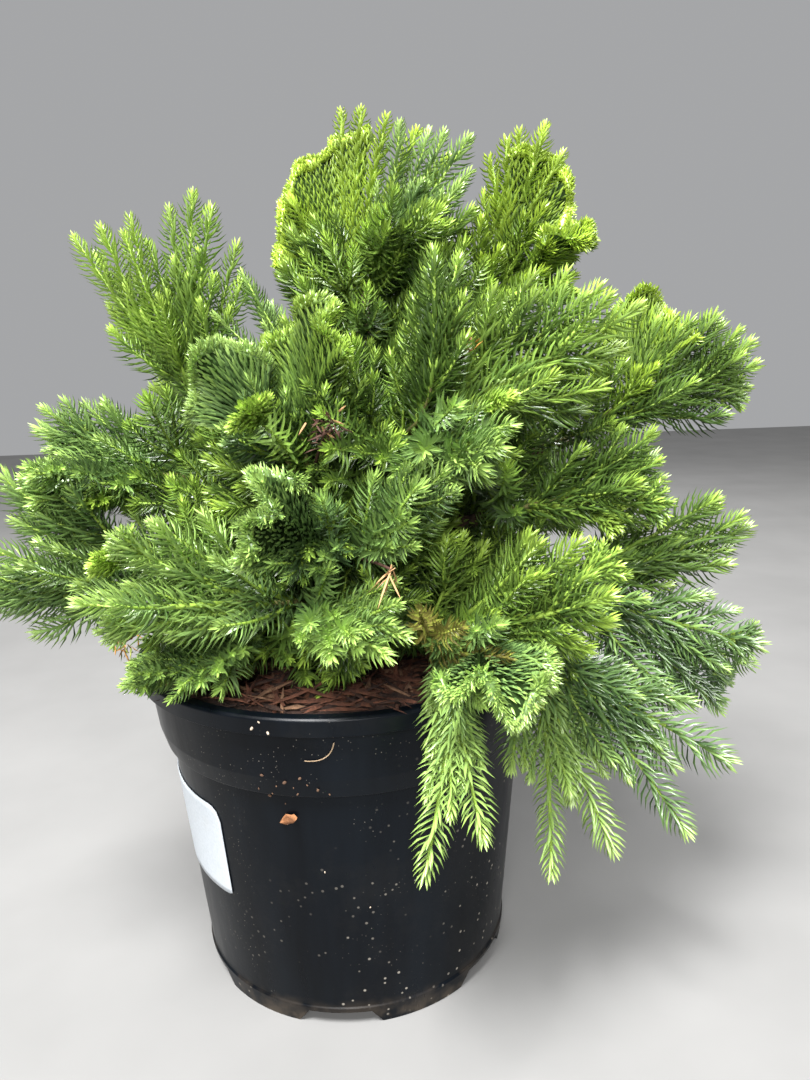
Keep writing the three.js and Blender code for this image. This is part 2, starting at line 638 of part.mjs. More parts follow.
// The curve of one shoot. spread runs from -1 to 1 across the fan, and shift tilts the shoot out of it.
function shootCurve(plan, index, shift) {
  const spread = ((index + 0.5) / plan.shoots) * 2 - 1;
  const seed = MASSES.findIndex(({ name }) => name === plan.name) + 1;
  const inFan = THREE.MathUtils.degToRad(plan.breadth * spread);
  const wobble = (scatter(seed, index) * 2 - 1) * plan.depth + shift;
  const outOfFan = THREE.MathUtils.degToRad(wobble);
  const heading = plan.aim
    .clone()
    .multiplyScalar(Math.cos(inFan) * Math.cos(outOfFan))
    .addScaledVector(plan.side, Math.sin(inFan) * Math.cos(outOfFan))
    .addScaledVector(plan.face, Math.sin(outOfFan));
  const shortened = TIP_FALL * Math.abs(spread) ** TIP_FALL_POWER + TIP_SCATTER * scatter(seed, index + 0.5);
  const reach = plan.reach * (1 - shortened + (plan.skew ?? 0) * spread);
  const tip = along(plan.heart, heading, reach).addScaledVector(UP, plan.sweep);
  const root = plan.crest
    ? along(plan.stem.getPoint(STEM_TIP_ROOT), plan.side, spread * CREST_MARGIN)
    : plan.stem.getPoint(STEM_TIP_ROOT - STEM_ROOT_SPAN * Math.abs(spread));
  const middle = root
    .clone()
    .lerp(tip, SHOOT_MIDDLE)
    .addScaledVector(plan.stem.getTangent(STEM_TIP_ROOT), reach * SHOOT_BOW)
    .addScaledVector(UP, -Math.sign(plan.sweep) * reach * SHOOT_SETTLE);
  return new THREE.QuadraticBezierCurve3(root, middle, tip);
}

function shootRadius(share) {
  return SHOOT_RADIUS + SHOOT_SWELL * Math.sin(Math.PI * share);
}

function stemRadius() {
  return STEM_RADIUS;
}

// Degrees out of the fan that a shoot tries in turn, and the straight rods it is tested as
const SHIFTS = [0, 6, -6, 12, -12, 18, -18, 25, -25];
const SHOOT_RODS = 6;

function ribRadius() {
  return CREST_MARGIN + SHOOT_RADIUS;
}

function placeShoot(plan, index) {
  const radiusOf = plan.crest ? ribRadius : shootRadius;
  for (const shift of SHIFTS) {
    const curve = shootCurve(plan, index, shift);
    if (isCurveClear(plan.name, curve, radiusOf, SHOOT_RODS)) {
      addCurveRods(plan.name, index, curve, radiusOf, SHOOT_RODS);
      return { index, curve };
    }
  }
  return null;
}

// The sheet of a crest, held by rods halfway between its ribs.
function addSheetRods(plan) {
  for (let i = 1; i < plan.shootCurves.length; i += 1) {
    const left = plan.shootCurves[i - 1].curve;
    const right = plan.shootCurves[i].curve;
    const between = (step) => {
      const share = step / CREST_ROWS;
      return left.getPoint(share).lerp(right.getPoint(share), 0.5);
    };
    for (let step = 0; step < CREST_ROWS; step += 1) {
      addRod(plan.name, "sheet", between(step), between(step + 1), CREST_WAVE);
    }
  }
}

// A shoot's solid: a three-sided core whose rings turn by a sixth, with a needle on every other face
// that has room for it.
function shootSolid(plan, { index, curve }) {
  const steps = THREE.MathUtils.clamp(Math.round(curve.getLength() / SHOOT_STEP), 2, 5);
  const points = [];
  const triangles = [[0, 2, 1]];
  for (let ring = 0; ring <= steps; ring += 1) {
    const share = (ring / steps) * CORE_SHARE;
    const { normal, binormal } = frameOn(curve, share);
    for (let corner = 0; corner < 3; corner += 1) {
      const turn = (Math.PI / 3) * (2 * corner + ring);
      const radius = shootRadius(share);
      points.push(
        curve
          .getPoint(share)
          .addScaledVector(normal, Math.cos(turn) * radius)
          .addScaledVector(binormal, Math.sin(turn) * radius),
      );
    }
  }
  for (let ring = 0; ring < steps; ring += 1) {
    const share = ((ring + NEEDLE_ROOT_SHARE) / steps) * CORE_SHARE;
    const { tangent, normal, binormal } = frameOn(curve, share);
    for (let corner = 0; corner < 3; corner += 1) {
      const next = (corner + 1) % 3;
      const low = ring * 3 + corner;
      const lowNext = ring * 3 + next;
      const high = low + 3;
      triangles.push([high, lowNext, lowNext + 3]);
      const turn = (Math.PI / 3) * (2 * corner + ring + 1);
      const outward = normal
        .clone()
        .multiplyScalar(Math.cos(turn))
        .addScaledVector(binormal, Math.sin(turn));
      const root = along(curve.getPoint(share), outward, SHOOT_RADIUS);
      const tip = along(root, tangent, NEEDLE_FORWARD).addScaledVector(outward, NEEDLE_OUTWARD);
      const isOwn = (rod) => rod.mass === plan.name && rod.shoot === index;
      const fin = points[high];
      const hasRoom = isClear(root, tip, NEEDLE_ROD_RADIUS, isOwn);
      if (hasRoom && isClear(fin, tip, NEEDLE_FIN_RADIUS, isOwn)) {
        addRod(plan.name, index, root, tip, NEEDLE_ROD_RADIUS);
        addRod(plan.name, index, fin, tip, NEEDLE_FIN_RADIUS);
        points.push(tip);
        const end = points.length - 1;
        triangles.push([low, lowNext, end], [lowNext, high, end], [high, low, end]);
      } else {
        triangles.push([low, lowNext, high]);
      }
    }
  }
  points.push(curve.getPoint(1));
  const end = points.length - 1;
  const last = steps * 3;
  triangles.push([last, last + 1, end], [last + 1, last + 2, end], [last + 2, last, end]);
  return toSolid(indexedGeometry(points, triangles));
}

// A crest's solid: one ribbed sheet with a rib for each shoot, a wavy rim, and needles on both faces.
function crestSolid(plan) {
  const ribs = plan.shootCurves.map(({ curve }) => curve);
  const columns = 2 * ribs.length + 1;
  const rows = CREST_ROWS + 1;
  const points = [];
  const triangles = [];
  const pointAt = (face, row, column) => {
    const share = (row / CREST_ROWS) * (column % 2 ? 1 : CREST_NOTCH);
    const left = ribs[Math.max(Math.ceil(column / 2) - 1, 0)].getPoint(share);
    const right = ribs[Math.min(Math.floor(column / 2), ribs.length - 1)].getPoint(share);
    const edge = (column === columns - 1) - (column === 0);
    const wave = CREST_WAVE * share * share * Math.sin(column * CREST_WAVE_TURN + plan.azimuth);
    const half = column % 2 ? CREST_RIDGE : CREST_VALLEY;
    return left
      .lerp(right, 0.5)
      .addScaledVector(plan.side, edge * CREST_MARGIN * (CREST_ROOT_MARGIN + share))
      .addScaledVector(plan.face, wave + face * half);
  };
  for (const face of [1, -1]) {
    for (let row = 0; row < rows; row += 1) {
      for (let column = 0; column < columns; column += 1) {
        points.push(pointAt(face, row, column));
      }
    }
  }
  const back = rows * columns;
  const panel = (a, b, c, d) => triangles.push([a, b, c], [a, c, d]);
  const needle = (corners, face) => {
    const root = new THREE.Vector3();
    corners.forEach((corner) => root.addScaledVector(points[corner], 1 / corners.length));
    const onward = points[corners[2]].clone().sub(points[corners[1]]).normalize();
    const tip = along(root, onward, CREST_NEEDLE_FORWARD);
    tip.addScaledVector(plan.face, face * CREST_NEEDLE_OUTWARD);
    if (!isClear(root, tip, NEEDLE_ROD_RADIUS, (rod) => rod.mass === plan.name)) {
      panel(...corners);
      return;
    }
    addRod(plan.name, 0, root, tip, NEEDLE_ROD_RADIUS);
    points.push(tip);
    corners.forEach((corner, i) => {
      triangles.push([corner, corners[(i + 1) % corners.length], points.length - 1]);
    });
  };
  for (let row = 0; row < rows - 1; row += 1) {
    for (let column = 0; column < columns - 1; column += 1) {
      const near = row * columns + column;
      const far = near + columns;
      const frontPanel = [near + 1, near, far, far + 1];
      const backPanel = [near, near + 1, far + 1, far].map((corner) => corner + back);
      if ((row + column) % 2) {
        needle(frontPanel, 1);
        panel(...backPanel);
      } else {
        panel(...frontPanel);
        needle(backPanel, -1);
      }
    }
  }
  for (let column = 0; column < columns - 1; column += 1) {
    const rim = (rows - 1) * columns + column;
    panel(column, column + 1, back + column + 1, back + column);
    panel(rim + 1, rim, back + rim, back + rim + 1);
  }
  for (let row = 0; row < rows - 1; row += 1) {
    const first = row * columns;
    const last = first + columns - 1;
    panel(first + columns, first, back + first, back + first + columns);
    panel(last, last + columns, back + last + columns, back + last);
  }
  return toSolid(indexedGeometry(points, triangles));
}

const plans = MASSES.map(planMass);
for (const [name, { curve, radiusOf, steps }] of Object.entries(limbs)) {
  addCurveRods(name, 0, curve, radiusOf, steps);
}
for (const plan of plans) {
  addCurveRods(plan.name, "stem", plan.stem, stemRadius, STEM_STEPS);
}
const crestsFirst = [...plans].sort((a, b) => Boolean(b.crest) - Boolean(a.crest));
for (const plan of crestsFirst) {
  plan.shootCurves = [];
  for (let index = 0; index < plan.shoots; index += 1) {
    const placed = placeShoot(plan, index);
    if (placed) {
      plan.shootCurves.push(placed);
    }
  }
  if (plan.crest) {
    addSheetRods(plan);
  }
}

// The trunk with the gap around it, cut away from what grows out of its side.
const trunkRoom = toSolid(
  bentRod(trunkCurve, (share) => trunkRadius(share) + SEAT_GAP, TRUNK_FACETS, TRUNK_STEPS),
);

function limbGeometry(name, { curve, radiusOf, steps }) {
  if (name === "trunk") {
    return bentRod(curve, radiusOf, TRUNK_FACETS, steps);
  }
  const rod = toSolid(bentRod(curve, radiusOf, BOUGH_FACETS, steps));
  return toGeometry(mainBody(rod.subtract(trunkRoom)));
}

function foliage(plan) {
  const stem = toSolid(bentRod(plan.stem, stemRadius, STEM_FACETS, STEM_STEPS));
  const leaves = plan.crest
    ? [crestSolid(plan)]
    : plan.shootCurves.map((placed) => shootSolid(plan, placed));
  const whole = fuse([stem, ...leaves]);
  return toGeometry(plan.height ? mainBody(whole.subtract(trunkRoom)) : whole);
}

// The whole plant

const group = new THREE.Group();

function add(name, geometry, material) {
  const mesh = new THREE.Mesh(geometry, material);
  mesh.name = name;
  group.add(mesh);
}

add("pot", pot(), standardMaterial(BLACK_PLASTIC, 0.45));
add("growing_medium", growingMedium(), standardMaterial(BROWN_BARK_CHIPS, 0.95));
add("label", label(), standardMaterial(WHITE_PAPER, 0.6));
for (const [name, limb] of Object.entries(limbs)) {
  const nodeName = name === "trunk" ? name : "bough_" + name;
  add(nodeName, limbGeometry(name, limb), standardMaterial(BROWN_BARK, 0.9));
}
for (const plan of plans) {
  const color = plan.crest ? CREST_GREEN : SPRAY_GREEN;
  add(plan.name, foliage(plan), standardMaterial(color, 0.6));
}

export default group;
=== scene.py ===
# A potted crested dwarf conifer, dressed over its solids.
# Lengths are in millimetres and angles in degrees until a mesh is made. Z is up and -Y faces the viewer.

import math
from collections import namedtuple
from functools import partial

import bpy
import numpy as np
from mathutils import Matrix, Vector


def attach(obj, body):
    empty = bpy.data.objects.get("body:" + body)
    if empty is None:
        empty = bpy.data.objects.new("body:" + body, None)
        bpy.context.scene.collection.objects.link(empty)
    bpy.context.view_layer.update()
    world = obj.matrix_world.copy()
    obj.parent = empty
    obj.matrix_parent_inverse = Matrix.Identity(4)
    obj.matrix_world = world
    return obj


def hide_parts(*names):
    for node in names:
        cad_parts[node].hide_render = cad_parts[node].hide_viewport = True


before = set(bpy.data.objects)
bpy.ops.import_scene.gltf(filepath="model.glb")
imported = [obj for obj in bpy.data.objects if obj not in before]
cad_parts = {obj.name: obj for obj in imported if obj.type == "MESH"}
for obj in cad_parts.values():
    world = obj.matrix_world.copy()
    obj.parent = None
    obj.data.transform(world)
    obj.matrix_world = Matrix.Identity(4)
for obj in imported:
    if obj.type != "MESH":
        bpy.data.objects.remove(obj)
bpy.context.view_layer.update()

MM = 0.001
UP = np.array([0.0, 0.0, 1.0])
LEVEL = np.array([1, 1, 0])
PHASES = 6.28
GOLDEN_TURN = math.pi * (3 - math.sqrt(5))
TRIANGLES_PER_PIECE = 190000

# Pot, as radii and heights of the turned outline
POT_HEIGHT = 151.6
RIM_RADIUS = 95
RIM_EDGE = 1
RIM_WIDTH = 5
LIP_LOW_HEIGHT = 143.8
LIP_LOW_RADIUS = 94
COLLAR_LOW_HEIGHT = 114.8
COLLAR_LOW_RADIUS = 85.3
COLLAR_BEND_HEIGHT = 123
COLLAR_BEND_RADIUS = 87.6
COLLAR_TOP_RADIUS = 90
NECK_RADIUS = 82.4
FOOT_HEIGHT = 8.4
FOOT_RADIUS = 73.7
FOOT_UNDER_RADIUS = 72.6
FOOT_LEDGE = 0.7
WALL = 1.4
FLOOR_TOP = 9.6
POT_FACETS = 144
POT_SHARP_ANGLE = 32

# Drainage channels and holes under the pot
CHANNELS = 6
CHANNEL_FIRST_AZIMUTH = -95.5
CHANNEL_HEIGHT = 6.5
CHANNEL_TOP_WIDTH = 27
CHANNEL_LOW_WIDTH = 38
CHANNEL_INNER_RADIUS = 44
DRAIN_RADIUS = 5
DRAIN_CIRCLE_RADIUS = 58
DRAIN_CUT_HEIGHTS = (-1, 10, 20)
CUT_OVERLAP = 1

# Growing medium
SOIL_LEVEL = 143
SOIL_FRONT_RISE = 5
SOIL_FLAT_RADIUS = 22
SOIL_RADIUS = 88.2
SOIL_SHOULDER_DEPTH = 14
SOIL_RINGS = 60
SOIL_SIDES = 120
SOIL_GRAIN = 0.55
SHREDS = 2600
SHRED_CLOSING = 0.4

# Label
LABEL_FROM_AZIMUTH = 176
LABEL_TO_AZIMUTH = 229
LABEL_LOW = 56
LABEL_HEIGHT = 43
LABEL_THICKNESS = 0.5
LABEL_CORNER = 7
LABEL_LOW_CORNER = 0.15
LABEL_COLUMNS = 49
LABEL_ROWS = 17
SEAT_GAP = 0.3

# Trunk and boughs
TRUNK_TOP = np.array([18.0, 10.0, 308.0])
TRUNK_FOOT = np.array([0.0, 0.0, SOIL_LEVEL + SEAT_GAP])
TRUNK_HEIGHT = TRUNK_TOP[2] - TRUNK_FOOT[2]
TRUNK_RADIUS = 8.5
TRUNK_TIP_RADIUS = 3.4
FLARE_RADIUS = 4.5
FLARE_HEIGHT = 9
TRUNK_BEND_SHARE = 0.45
BOUGH_RADIUS = 4.6
BOUGH_TIP_RADIUS = 3.4
BOUGH_SAG = 0.05
BOUGH_TO_TRUNK = 0.8
LIMB_START = 0.4
BOUGH_WOOD_SHARE = 0.74

# The rule by which each mass's shoots leave its stem
STEM_RADIUS = 1.3
STEM_SHARE = 0.34
STEM_STRAIGHT = 0.7
STEM_EASE = 0.1
TRUNK_LEAVE_RISE = 40
STEM_INSET = 0.1
STEM_TIP_ROOT = 0.95
STEM_ROOT_SPAN = 0.72
TIP_FALL = 0.26
TIP_FALL_POWER = 1.5
TIP_SCATTER = 0.1
SHOOT_MIDDLE = 0.45
SHOOT_BOW = 0.07
SHOOT_SETTLE = 0.04
CREST_MARGIN = 2.5

Bough = namedtuple("Bough", "height azimuth rise length")
BOUGHS = {
    "left_high": Bough(215, 168, 32, 88),
    "left_mid": Bough(203, 186, 20, 93),
    "left_low": Bough(165, 208, 15, 90),
    "left_low_front": Bough(158, 228, 8, 66),
    "front_left_high": Bough(214, 256, 20, 72),
    "front_centre": Bough(190, 274, 12, 74),
    "front_low": Bough(176, 260, 8, 78),
    "centre_front_high": Bough(232, 297, 15, 78),
    "front_low_right": Bough(167, 298, 5, 100),
    "right_low_front": Bough(155, 323, 5, 102),
    "centre_right": Bough(201, 331, 9, 100),
    "right_low": Bough(179, 338, 0, 109),
    "right_high": Bough(216, 353, 13, 130),
    "top_right": Bough(268, 2, 28, 70),
    "back_right": Bough(192, 45, 18, 95),
    "back": Bough(180, 88, 12, 90),
    "back_left": Bough(196, 131, 18, 95),
}

# The shades of a palette, from old needles to new tips, and the web of a crest, which is painted near-black
# as the shade between its needles
DEEP, DARK, MID, FRESH, LIGHT, BRIGHT, TIP, SHADED_WEB = range(8)
PALETTE_SIZE = 8
WARM, COOL, GOLD = (PALETTE_SIZE * order for order in range(3))

Mass = namedtuple(
    "Mass", "name limb height azimuth rise reach breadth depth roll shoots sweep skew kind tone"
)
MASSES = [
    Mass("spires_left_high", "left_high", 0, 153, 61, 94, 20, 8, 80, 6, 4, 0, "spires", FRESH),
    Mass("spires_left_inner", "left_high", 0, 80, 74, 104, 18, 8, 0, 5, 0, 0, "spires", MID),
    Mass("spray_left_mid", "left_mid", 0, 172, 26, 52, 24, 14, 90, 4, 2, 0, "spray", MID),
    Mass("spray_left_front", "left_mid", 0, 236, -4, 58, 24, 10, 20, 5, 3, 0, "spray", MID),
    Mass("spray_left_low_upper", "left_low", 0, 174, 38, 80, 14, 12, 90, 5, 3, 0, "spray", MID),
    Mass("spray_left_low", "left_low", 0, 192, 2, 78, 20, 10, 45, 5, 2, 0, "spray", MID),
    Mass("crest_top_left", "trunk", 258, 90, 78, 140, 27, 3, 5, 7, 0, -0.22, "crest", LIGHT),
    Mass("spires_behind_left", "trunk", 246, 136, 46, 100, 26, 8, 20, 5, 4, 0, "spires", MID),
    Mass("spires_top_centre", "trunk", 0, 12, 60, 92, 20, 10, 65, 5, 2, 0, "spires", MID),
    Mass("spray_top_front", "trunk", 0, 310, 38, 54, 26, 10, 10, 4, 0, 0, "spray", MID),
    Mass("crest_top_right", "top_right", 0, 32, 67, 84, 22, 3, 55, 5, 0, 0, "crest", LIGHT),
    Mass("crest_right_ledge", "top_right", 0, 342, 34, 54, 34, 3, 0, 5, 0, 0, "crest", MID),
    Mass("crest_right_high", "right_high", 0, 52, 66, 66, 30, 3, 25, 5, 0, 0, "crest", MID),
    Mass("spray_right_high", "right_high", 0, 12, 34, 70, 24, 10, 90, 6, 2, 0, "spray", DARK),
    Mass("spires_centre_dark", "centre_front_high", 0, 60, 84, 68, 16, 10, 0, 5, 0, 0, "spires", DARK),
    Mass("fan_centre_right", "centre_front_high", 0, 14, 30, 92, 26, 6, 85, 6, 3, 0, "spray", MID),
    Mass("spray_centre_front", "centre_front_high", 0, 286, -18, 46, 38, 12, 30, 5, 4, 0, "spray", MID),
    Mass("crest_wave_left", "front_left_high", 0, 184, 54, 56, 30, 4, 85, 6, 0, 0, "crest", DARK),
    Mass("crest_wave_right", "front_left_high", 0, 40, 78, 64, 26, 4, 10, 5, 0, 0, "crest", DARK),
    Mass("crest_front", "front_centre", 0, 225, 28, 56, 28, 4, 80, 6, 0, 0, "crest", DARK),
    Mass("spray_front_right", "front_centre", 0, 322, 38, 56, 24, 10, 40, 5, 2, 0, "spray", MID),
    Mass("spray_front_left", "front_low", 0, 192, 14, 78, 24, 12, 60, 5, 2, 0, "spray", FRESH),
    Mass("spray_front_knob", "front_low", 0, 304, 6, 56, 24, 14, 20, 5, 0, 0, "spray", FRESH),
    Mass("crest_front_low", "front_low_right", 0, 296, -6, 40, 55, 5, 0, 6, -4, 0, "crest", MID),
    Mass("spray_front_bright", "front_low_right", 0, 342, 26, 62, 32, 10, 80, 6, 2, 0, "spray", MID),
    Mass("hanging_front", "front_low_right", 0, 250, -64, 92, 16, 6, 0, 4, 0, 0, "hanging", FRESH),
    Mass("hanging_right_front", "right_low_front", 0, 294, -66, 98, 26, 6, 0, 5, 0, 0, "hanging", FRESH),
    Mass("hanging_right", "right_low_front", 0, 350, -44, 105, 26, 8, 70, 5, 0, 0, "hanging", DARK),
    Mass("spray_pot_edge", "left_low_front", 0, 245, -4, 46, 50, 8, 5, 6, 2, 0, "spray", MID),
    Mass("spray_centre_right", "centre_right", 0, 2, 22, 52, 30, 12, 80, 5, 2, 0, "spray", DARK),
    Mass("spires_right", "right_low", 0, 14, 14, 88, 15, 8, 80, 6, 4, 0, "spires", DARK),
    Mass("spray_right_low", "right_low", 0, 4, -33, 98, 20, 10, 90, 5, -2, 0, "spray", DARK),
    Mass("spray_back_right_high", "back_right", 0, 52, 38, 84, 32, 14, 10, 5, 4, 0, "spray", MID),
    Mass("spray_back_right_low", "back_right", 0, 20, -20, 92, 30, 14, 20, 5, 4, 0, "spray", MID),
    Mass("spray_back_left_high", "back_left", 0, 128, 36, 80, 32, 14, 10, 5, 4, 0, "spray", MID),
    Mass("spray_back_left_low", "back_left", 0, 166, -14, 82, 32, 14, 20, 5, 4, 0, "spray", MID),
    Mass("spray_back_low", "back", 0, 90, -12, 66, 58, 14, 0, 6, 6, 0, "spray", MID),
    Mass("spires_back_high", "trunk", 254, 70, 48, 98, 30, 12, 0, 5, 4, 0, "spires", MID),
]

# The side shoots of each kind of leader: at which share of it a pair leaves, how far the two open, how long
# they are against the leader, and how close and how long the needles are
Habit = namedtuple("Habit", "place opening share spacing needle")
HABITS = {
    "spires": Habit(0.14, 20, 0.40, 0.52, 10.4),
    "spray": Habit(0.40, 34, 0.56, 0.54, 11.4),
    "hanging": Habit(0.18, 20, 0.40, 0.48, 11.4),
    "crest": Habit(0.40, 32, 0.50, 0.55, 9.6),
}

# Short shoots around a mass's stem
COLLAR_SHOOTS = {"spires": 2, "spray": 4, "hanging": 2, "crest": 5}

# How far each leader of a mass goes, against the rule's reach, where some end early
LEADER_SHARES = {
    "spires_top_centre": (1, 1, 0.84, 1, 1),
    "hanging_front": (0.56, 1, 0.58, 0.97),
    "hanging_right_front": (0.66, 1, 0.66, 1, 0.68),
    "hanging_right": (0.66, 1, 0.74, 0.98, 0.86),
}
# How long the needles of slimmer masses are, against the rule's
SLIM = {
    "spires_top_centre": 0.78,
    "spires_behind_left": 0.80,
    "spires_left_high": 0.90,
    "spray_front_knob": 0.82,
    "spray_pot_edge": 0.82,
    "hanging_front": 0.86,
    "hanging_right_front": 0.86,
}

# A needle opens from its shoot and bends back towards it, and five rows of them wind around the shoot
NEEDLE_WIDTH = 1.10
NEEDLE_OPENING = 58
NEEDLE_CLOSING = 0.70
NEEDLE_BEND_SHARE = 0.56
NEEDLE_FOOT_WIDTH = 0.85
NEEDLE_KEEL = 0.25
NEEDLE_SUNK = 0.6
NEEDLE_ROOM = 0.6
NEEDLE_SHIFT = 0.12
ROW_TURN = math.radians(146.4)
ROW_NOISE = 0.12

# A shoot's axis, and its last stretch, where needles are short and close and end in a bud
SHOOT_RADIUS = 1.1
SHOOT_NARROWING = 0.62
SHORTEST_SHOOT = 7
TAPER_LENGTH = 14
TAPER_POWER = 0.8
TAPER_SPACING = 0.46
TIP_NEEDLE_SHARE = 0.42
TIP_OPENING = 24
BUD_LENGTH = 3
BUD_SPACING = 0.36

# Shoots with numbers of their own: needle spacing, needle length and the axis's radius, and for some the
# share that is bare and the length of the last stretch
STEM_SHOOT = (0.8, 10.5, STEM_RADIUS * 1.2, 0.2)
BOUGH_SHOOT = (0.42, 9.5, BOUGH_TIP_RADIUS, 0.35)
CRESTED_TIP_SHOOT = (0.5, 6.4, 1.3)
FINGER_SHOOT = (0.24, 5.8, 2.1, 0.0, 7)
LOOSE_SHOOT = (0.48, 8.6, 1.5)
TUFT_SHOOT = (0.6, 10.5, 1.2)
BRONZE_SHOOT = (0.5, 9.5, 1.2)

# What a weak and a vigorous shoot's spacing, needle length and needle width are, against the rule's
VIGOUR_SPACING = (0.90, 1.28)
VIGOUR_LENGTH = (0.88, 1.20)
VIGOUR_WIDTH = (0.88, 1.12)

# Shades along a shoot: darker at its foot, brighter over its young end, and brightest at the very tip
OLD_DROP = 0.9
OLD_SHARE = 0.4
YOUNG_RISE = 2.2
YOUNG_LENGTH = 14
YOUNG_SHARE = 0.36
TIP_LENGTH = 4


# Small tools


def unit(vectors):
    return vectors / np.linalg.norm(vectors, axis=-1, keepdims=True)


def square_part(vectors, tangents):
    """What is left of the vectors without their part along the tangents."""
    return vectors - tangents * (vectors * tangents).sum(axis=1, keepdims=True)


def bearing(azimuth, rise=0):
    turn = math.radians(azimuth)
    lift = math.radians(rise)
    return np.array([math.cos(lift) * math.cos(turn), math.cos(lift) * math.sin(turn), math.sin(lift)])


def left_of(azimuth):
    """The level direction to the left of a bearing."""
    turn = math.radians(azimuth)
    return np.array([-math.sin(turn), math.cos(turn), 0])


def around(radius, turn, height):
    """Points from their distance to the upright axis, their turn about it and their height."""
    return np.stack(np.broadcast_arrays(radius * np.cos(turn), radius * np.sin(turn), height), -1)


def ring_turns(sides):
    return np.arange(sides) / sides * 2 * math.pi


def scatter(a, b):
    """A repeatable number from 0 to 1 for any pair of numbers."""
    wave = math.sin(a * 12.9898 + b * 78.233) * 43758.5453
    return wave - math.floor(wave)


def between(span, share):
    low, high = span
    return low + (high - low) * share


def smooth(value, low, high):
    share = np.clip((value - low) / (high - low), 0, 1)
    return share * share * (3 - 2 * share)


def tube_triangles(rings, sides):
    """The triangles between rings of corners that follow each other."""
    start = np.arange(rings - 1)[:, None] * sides
    side = np.arange(sides)[None, :]
    near = (start + side).ravel()
    beside = (start + (side + 1) % sides).ravel()
    return np.concatenate(
        [np.stack([near, beside, beside + sides], 1), np.stack([near, beside + sides, near + sides], 1)]
    )


def closed_tube_triangles(rings, sides):
    """The same with closed ends, to a first and a last corner that come after the rings."""
    first = np.arange(sides)
    last = first + (rings - 1) * sides
    middle = np.full(sides, rings * sides)
    start = np.stack([middle, np.roll(first, -1), first], 1)
    end = np.stack([middle + 1, last, np.roll(last, -1)], 1)
    return np.concatenate([tube_triangles(rings, sides), start, end])


class Curve:
    """A curve with one bend, from its two ends and the point that it bends towards."""

    SAMPLES = 17
    STRAIGHT = 1e-3
    STEEP = 0.9

    def __init__(self, start, middle, end):
        self.ends = (np.asarray(start, float), np.asarray(middle, float), np.asarray(end, float))
        self.shares = np.linspace(0, 1, self.SAMPLES)
        steps = np.linalg.norm(np.diff(self.point(self.shares), axis=0), axis=1)
        self.lengths = np.concatenate([[0], np.cumsum(steps)])
        self.length = self.lengths[-1]

    def point(self, share):
        start, middle, end = self.ends
        share = np.asarray(share, float)[..., None]
        return (1 - share) ** 2 * start + 2 * share * (1 - share) * middle + share**2 * end

    def tangent(self, share):
        start, middle, end = self.ends
        share = np.asarray(share, float)[..., None]
        return unit((1 - share) * (middle - start) + share * (end - middle) + 1e-9)

    def share_at(self, distance):
        return np.interp(distance, self.lengths, self.shares)

    def frames(self, share):
        """Tangents and two square directions, all in step along the curve."""
        start, middle, end = self.ends
        tangent = self.tangent(share)
        across = np.cross(middle - start, end - middle)
        if np.linalg.norm(across) < self.STRAIGHT:
            onward = self.tangent(0.5)
            across = np.cross(onward, [1, 0, 0] if abs(onward[2]) > self.STEEP else UP)
        across = unit(across)
        normal = unit(np.cross(across, tangent))
        return tangent, normal, np.broadcast_to(across, normal.shape)


class Store:
    """Corners, triangles and shade numbers of one piece, gathered before its mesh is made."""

    def __init__(self):
        self.corners = []
        self.triangles = []
        self.shades = []
        self.corner_count = 0
        self.triangle_count = 0
        self.palette = WARM

    def add(self, corners, triangles, shades):
        self.corners.append(corners)
        self.triangles.append(triangles + self.corner_count)
        self.shades.append(np.broadcast_to(shades, len(triangles)) + self.palette)
        self.corner_count += len(corners)
        self.triangle_count += len(triangles)

    def piece(self, name, materials):
        corners = np.concatenate(self.corners) * MM
        triangles = np.concatenate(self.triangles)
        shades = np.concatenate(self.shades)
        mesh = bpy.data.meshes.new(name)
        mesh.vertices.add(len(corners))
        mesh.vertices.foreach_set("co", corners.ravel())
        mesh.loops.add(triangles.size)
        mesh.loops.foreach_set("vertex_index", triangles.ravel().astype(np.int32))
        mesh.polygons.add(len(triangles))
        mesh.polygons.foreach_set("loop_start", np.arange(0, triangles.size, 3, dtype=np.int32))
        mesh.polygons.foreach_set("material_index", shades.astype(np.int32))
        mesh.polygons.foreach_set("use_smooth", np.ones(len(triangles), bool))
        mesh.update(calc_edges=True)
        for material in materials:
            mesh.materials.append(material)
        return new_object(name, mesh)


def new_object(name, data):
    item = bpy.data.objects.new(name, data)
    bpy.context.scene.collection.objects.link(item)
    return item


def finish_piece(piece, slot, *nodes):
    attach(piece, "root")
    if nodes:
        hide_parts(*nodes)


# Materials: the main values of each are set by nodes in the object's own space


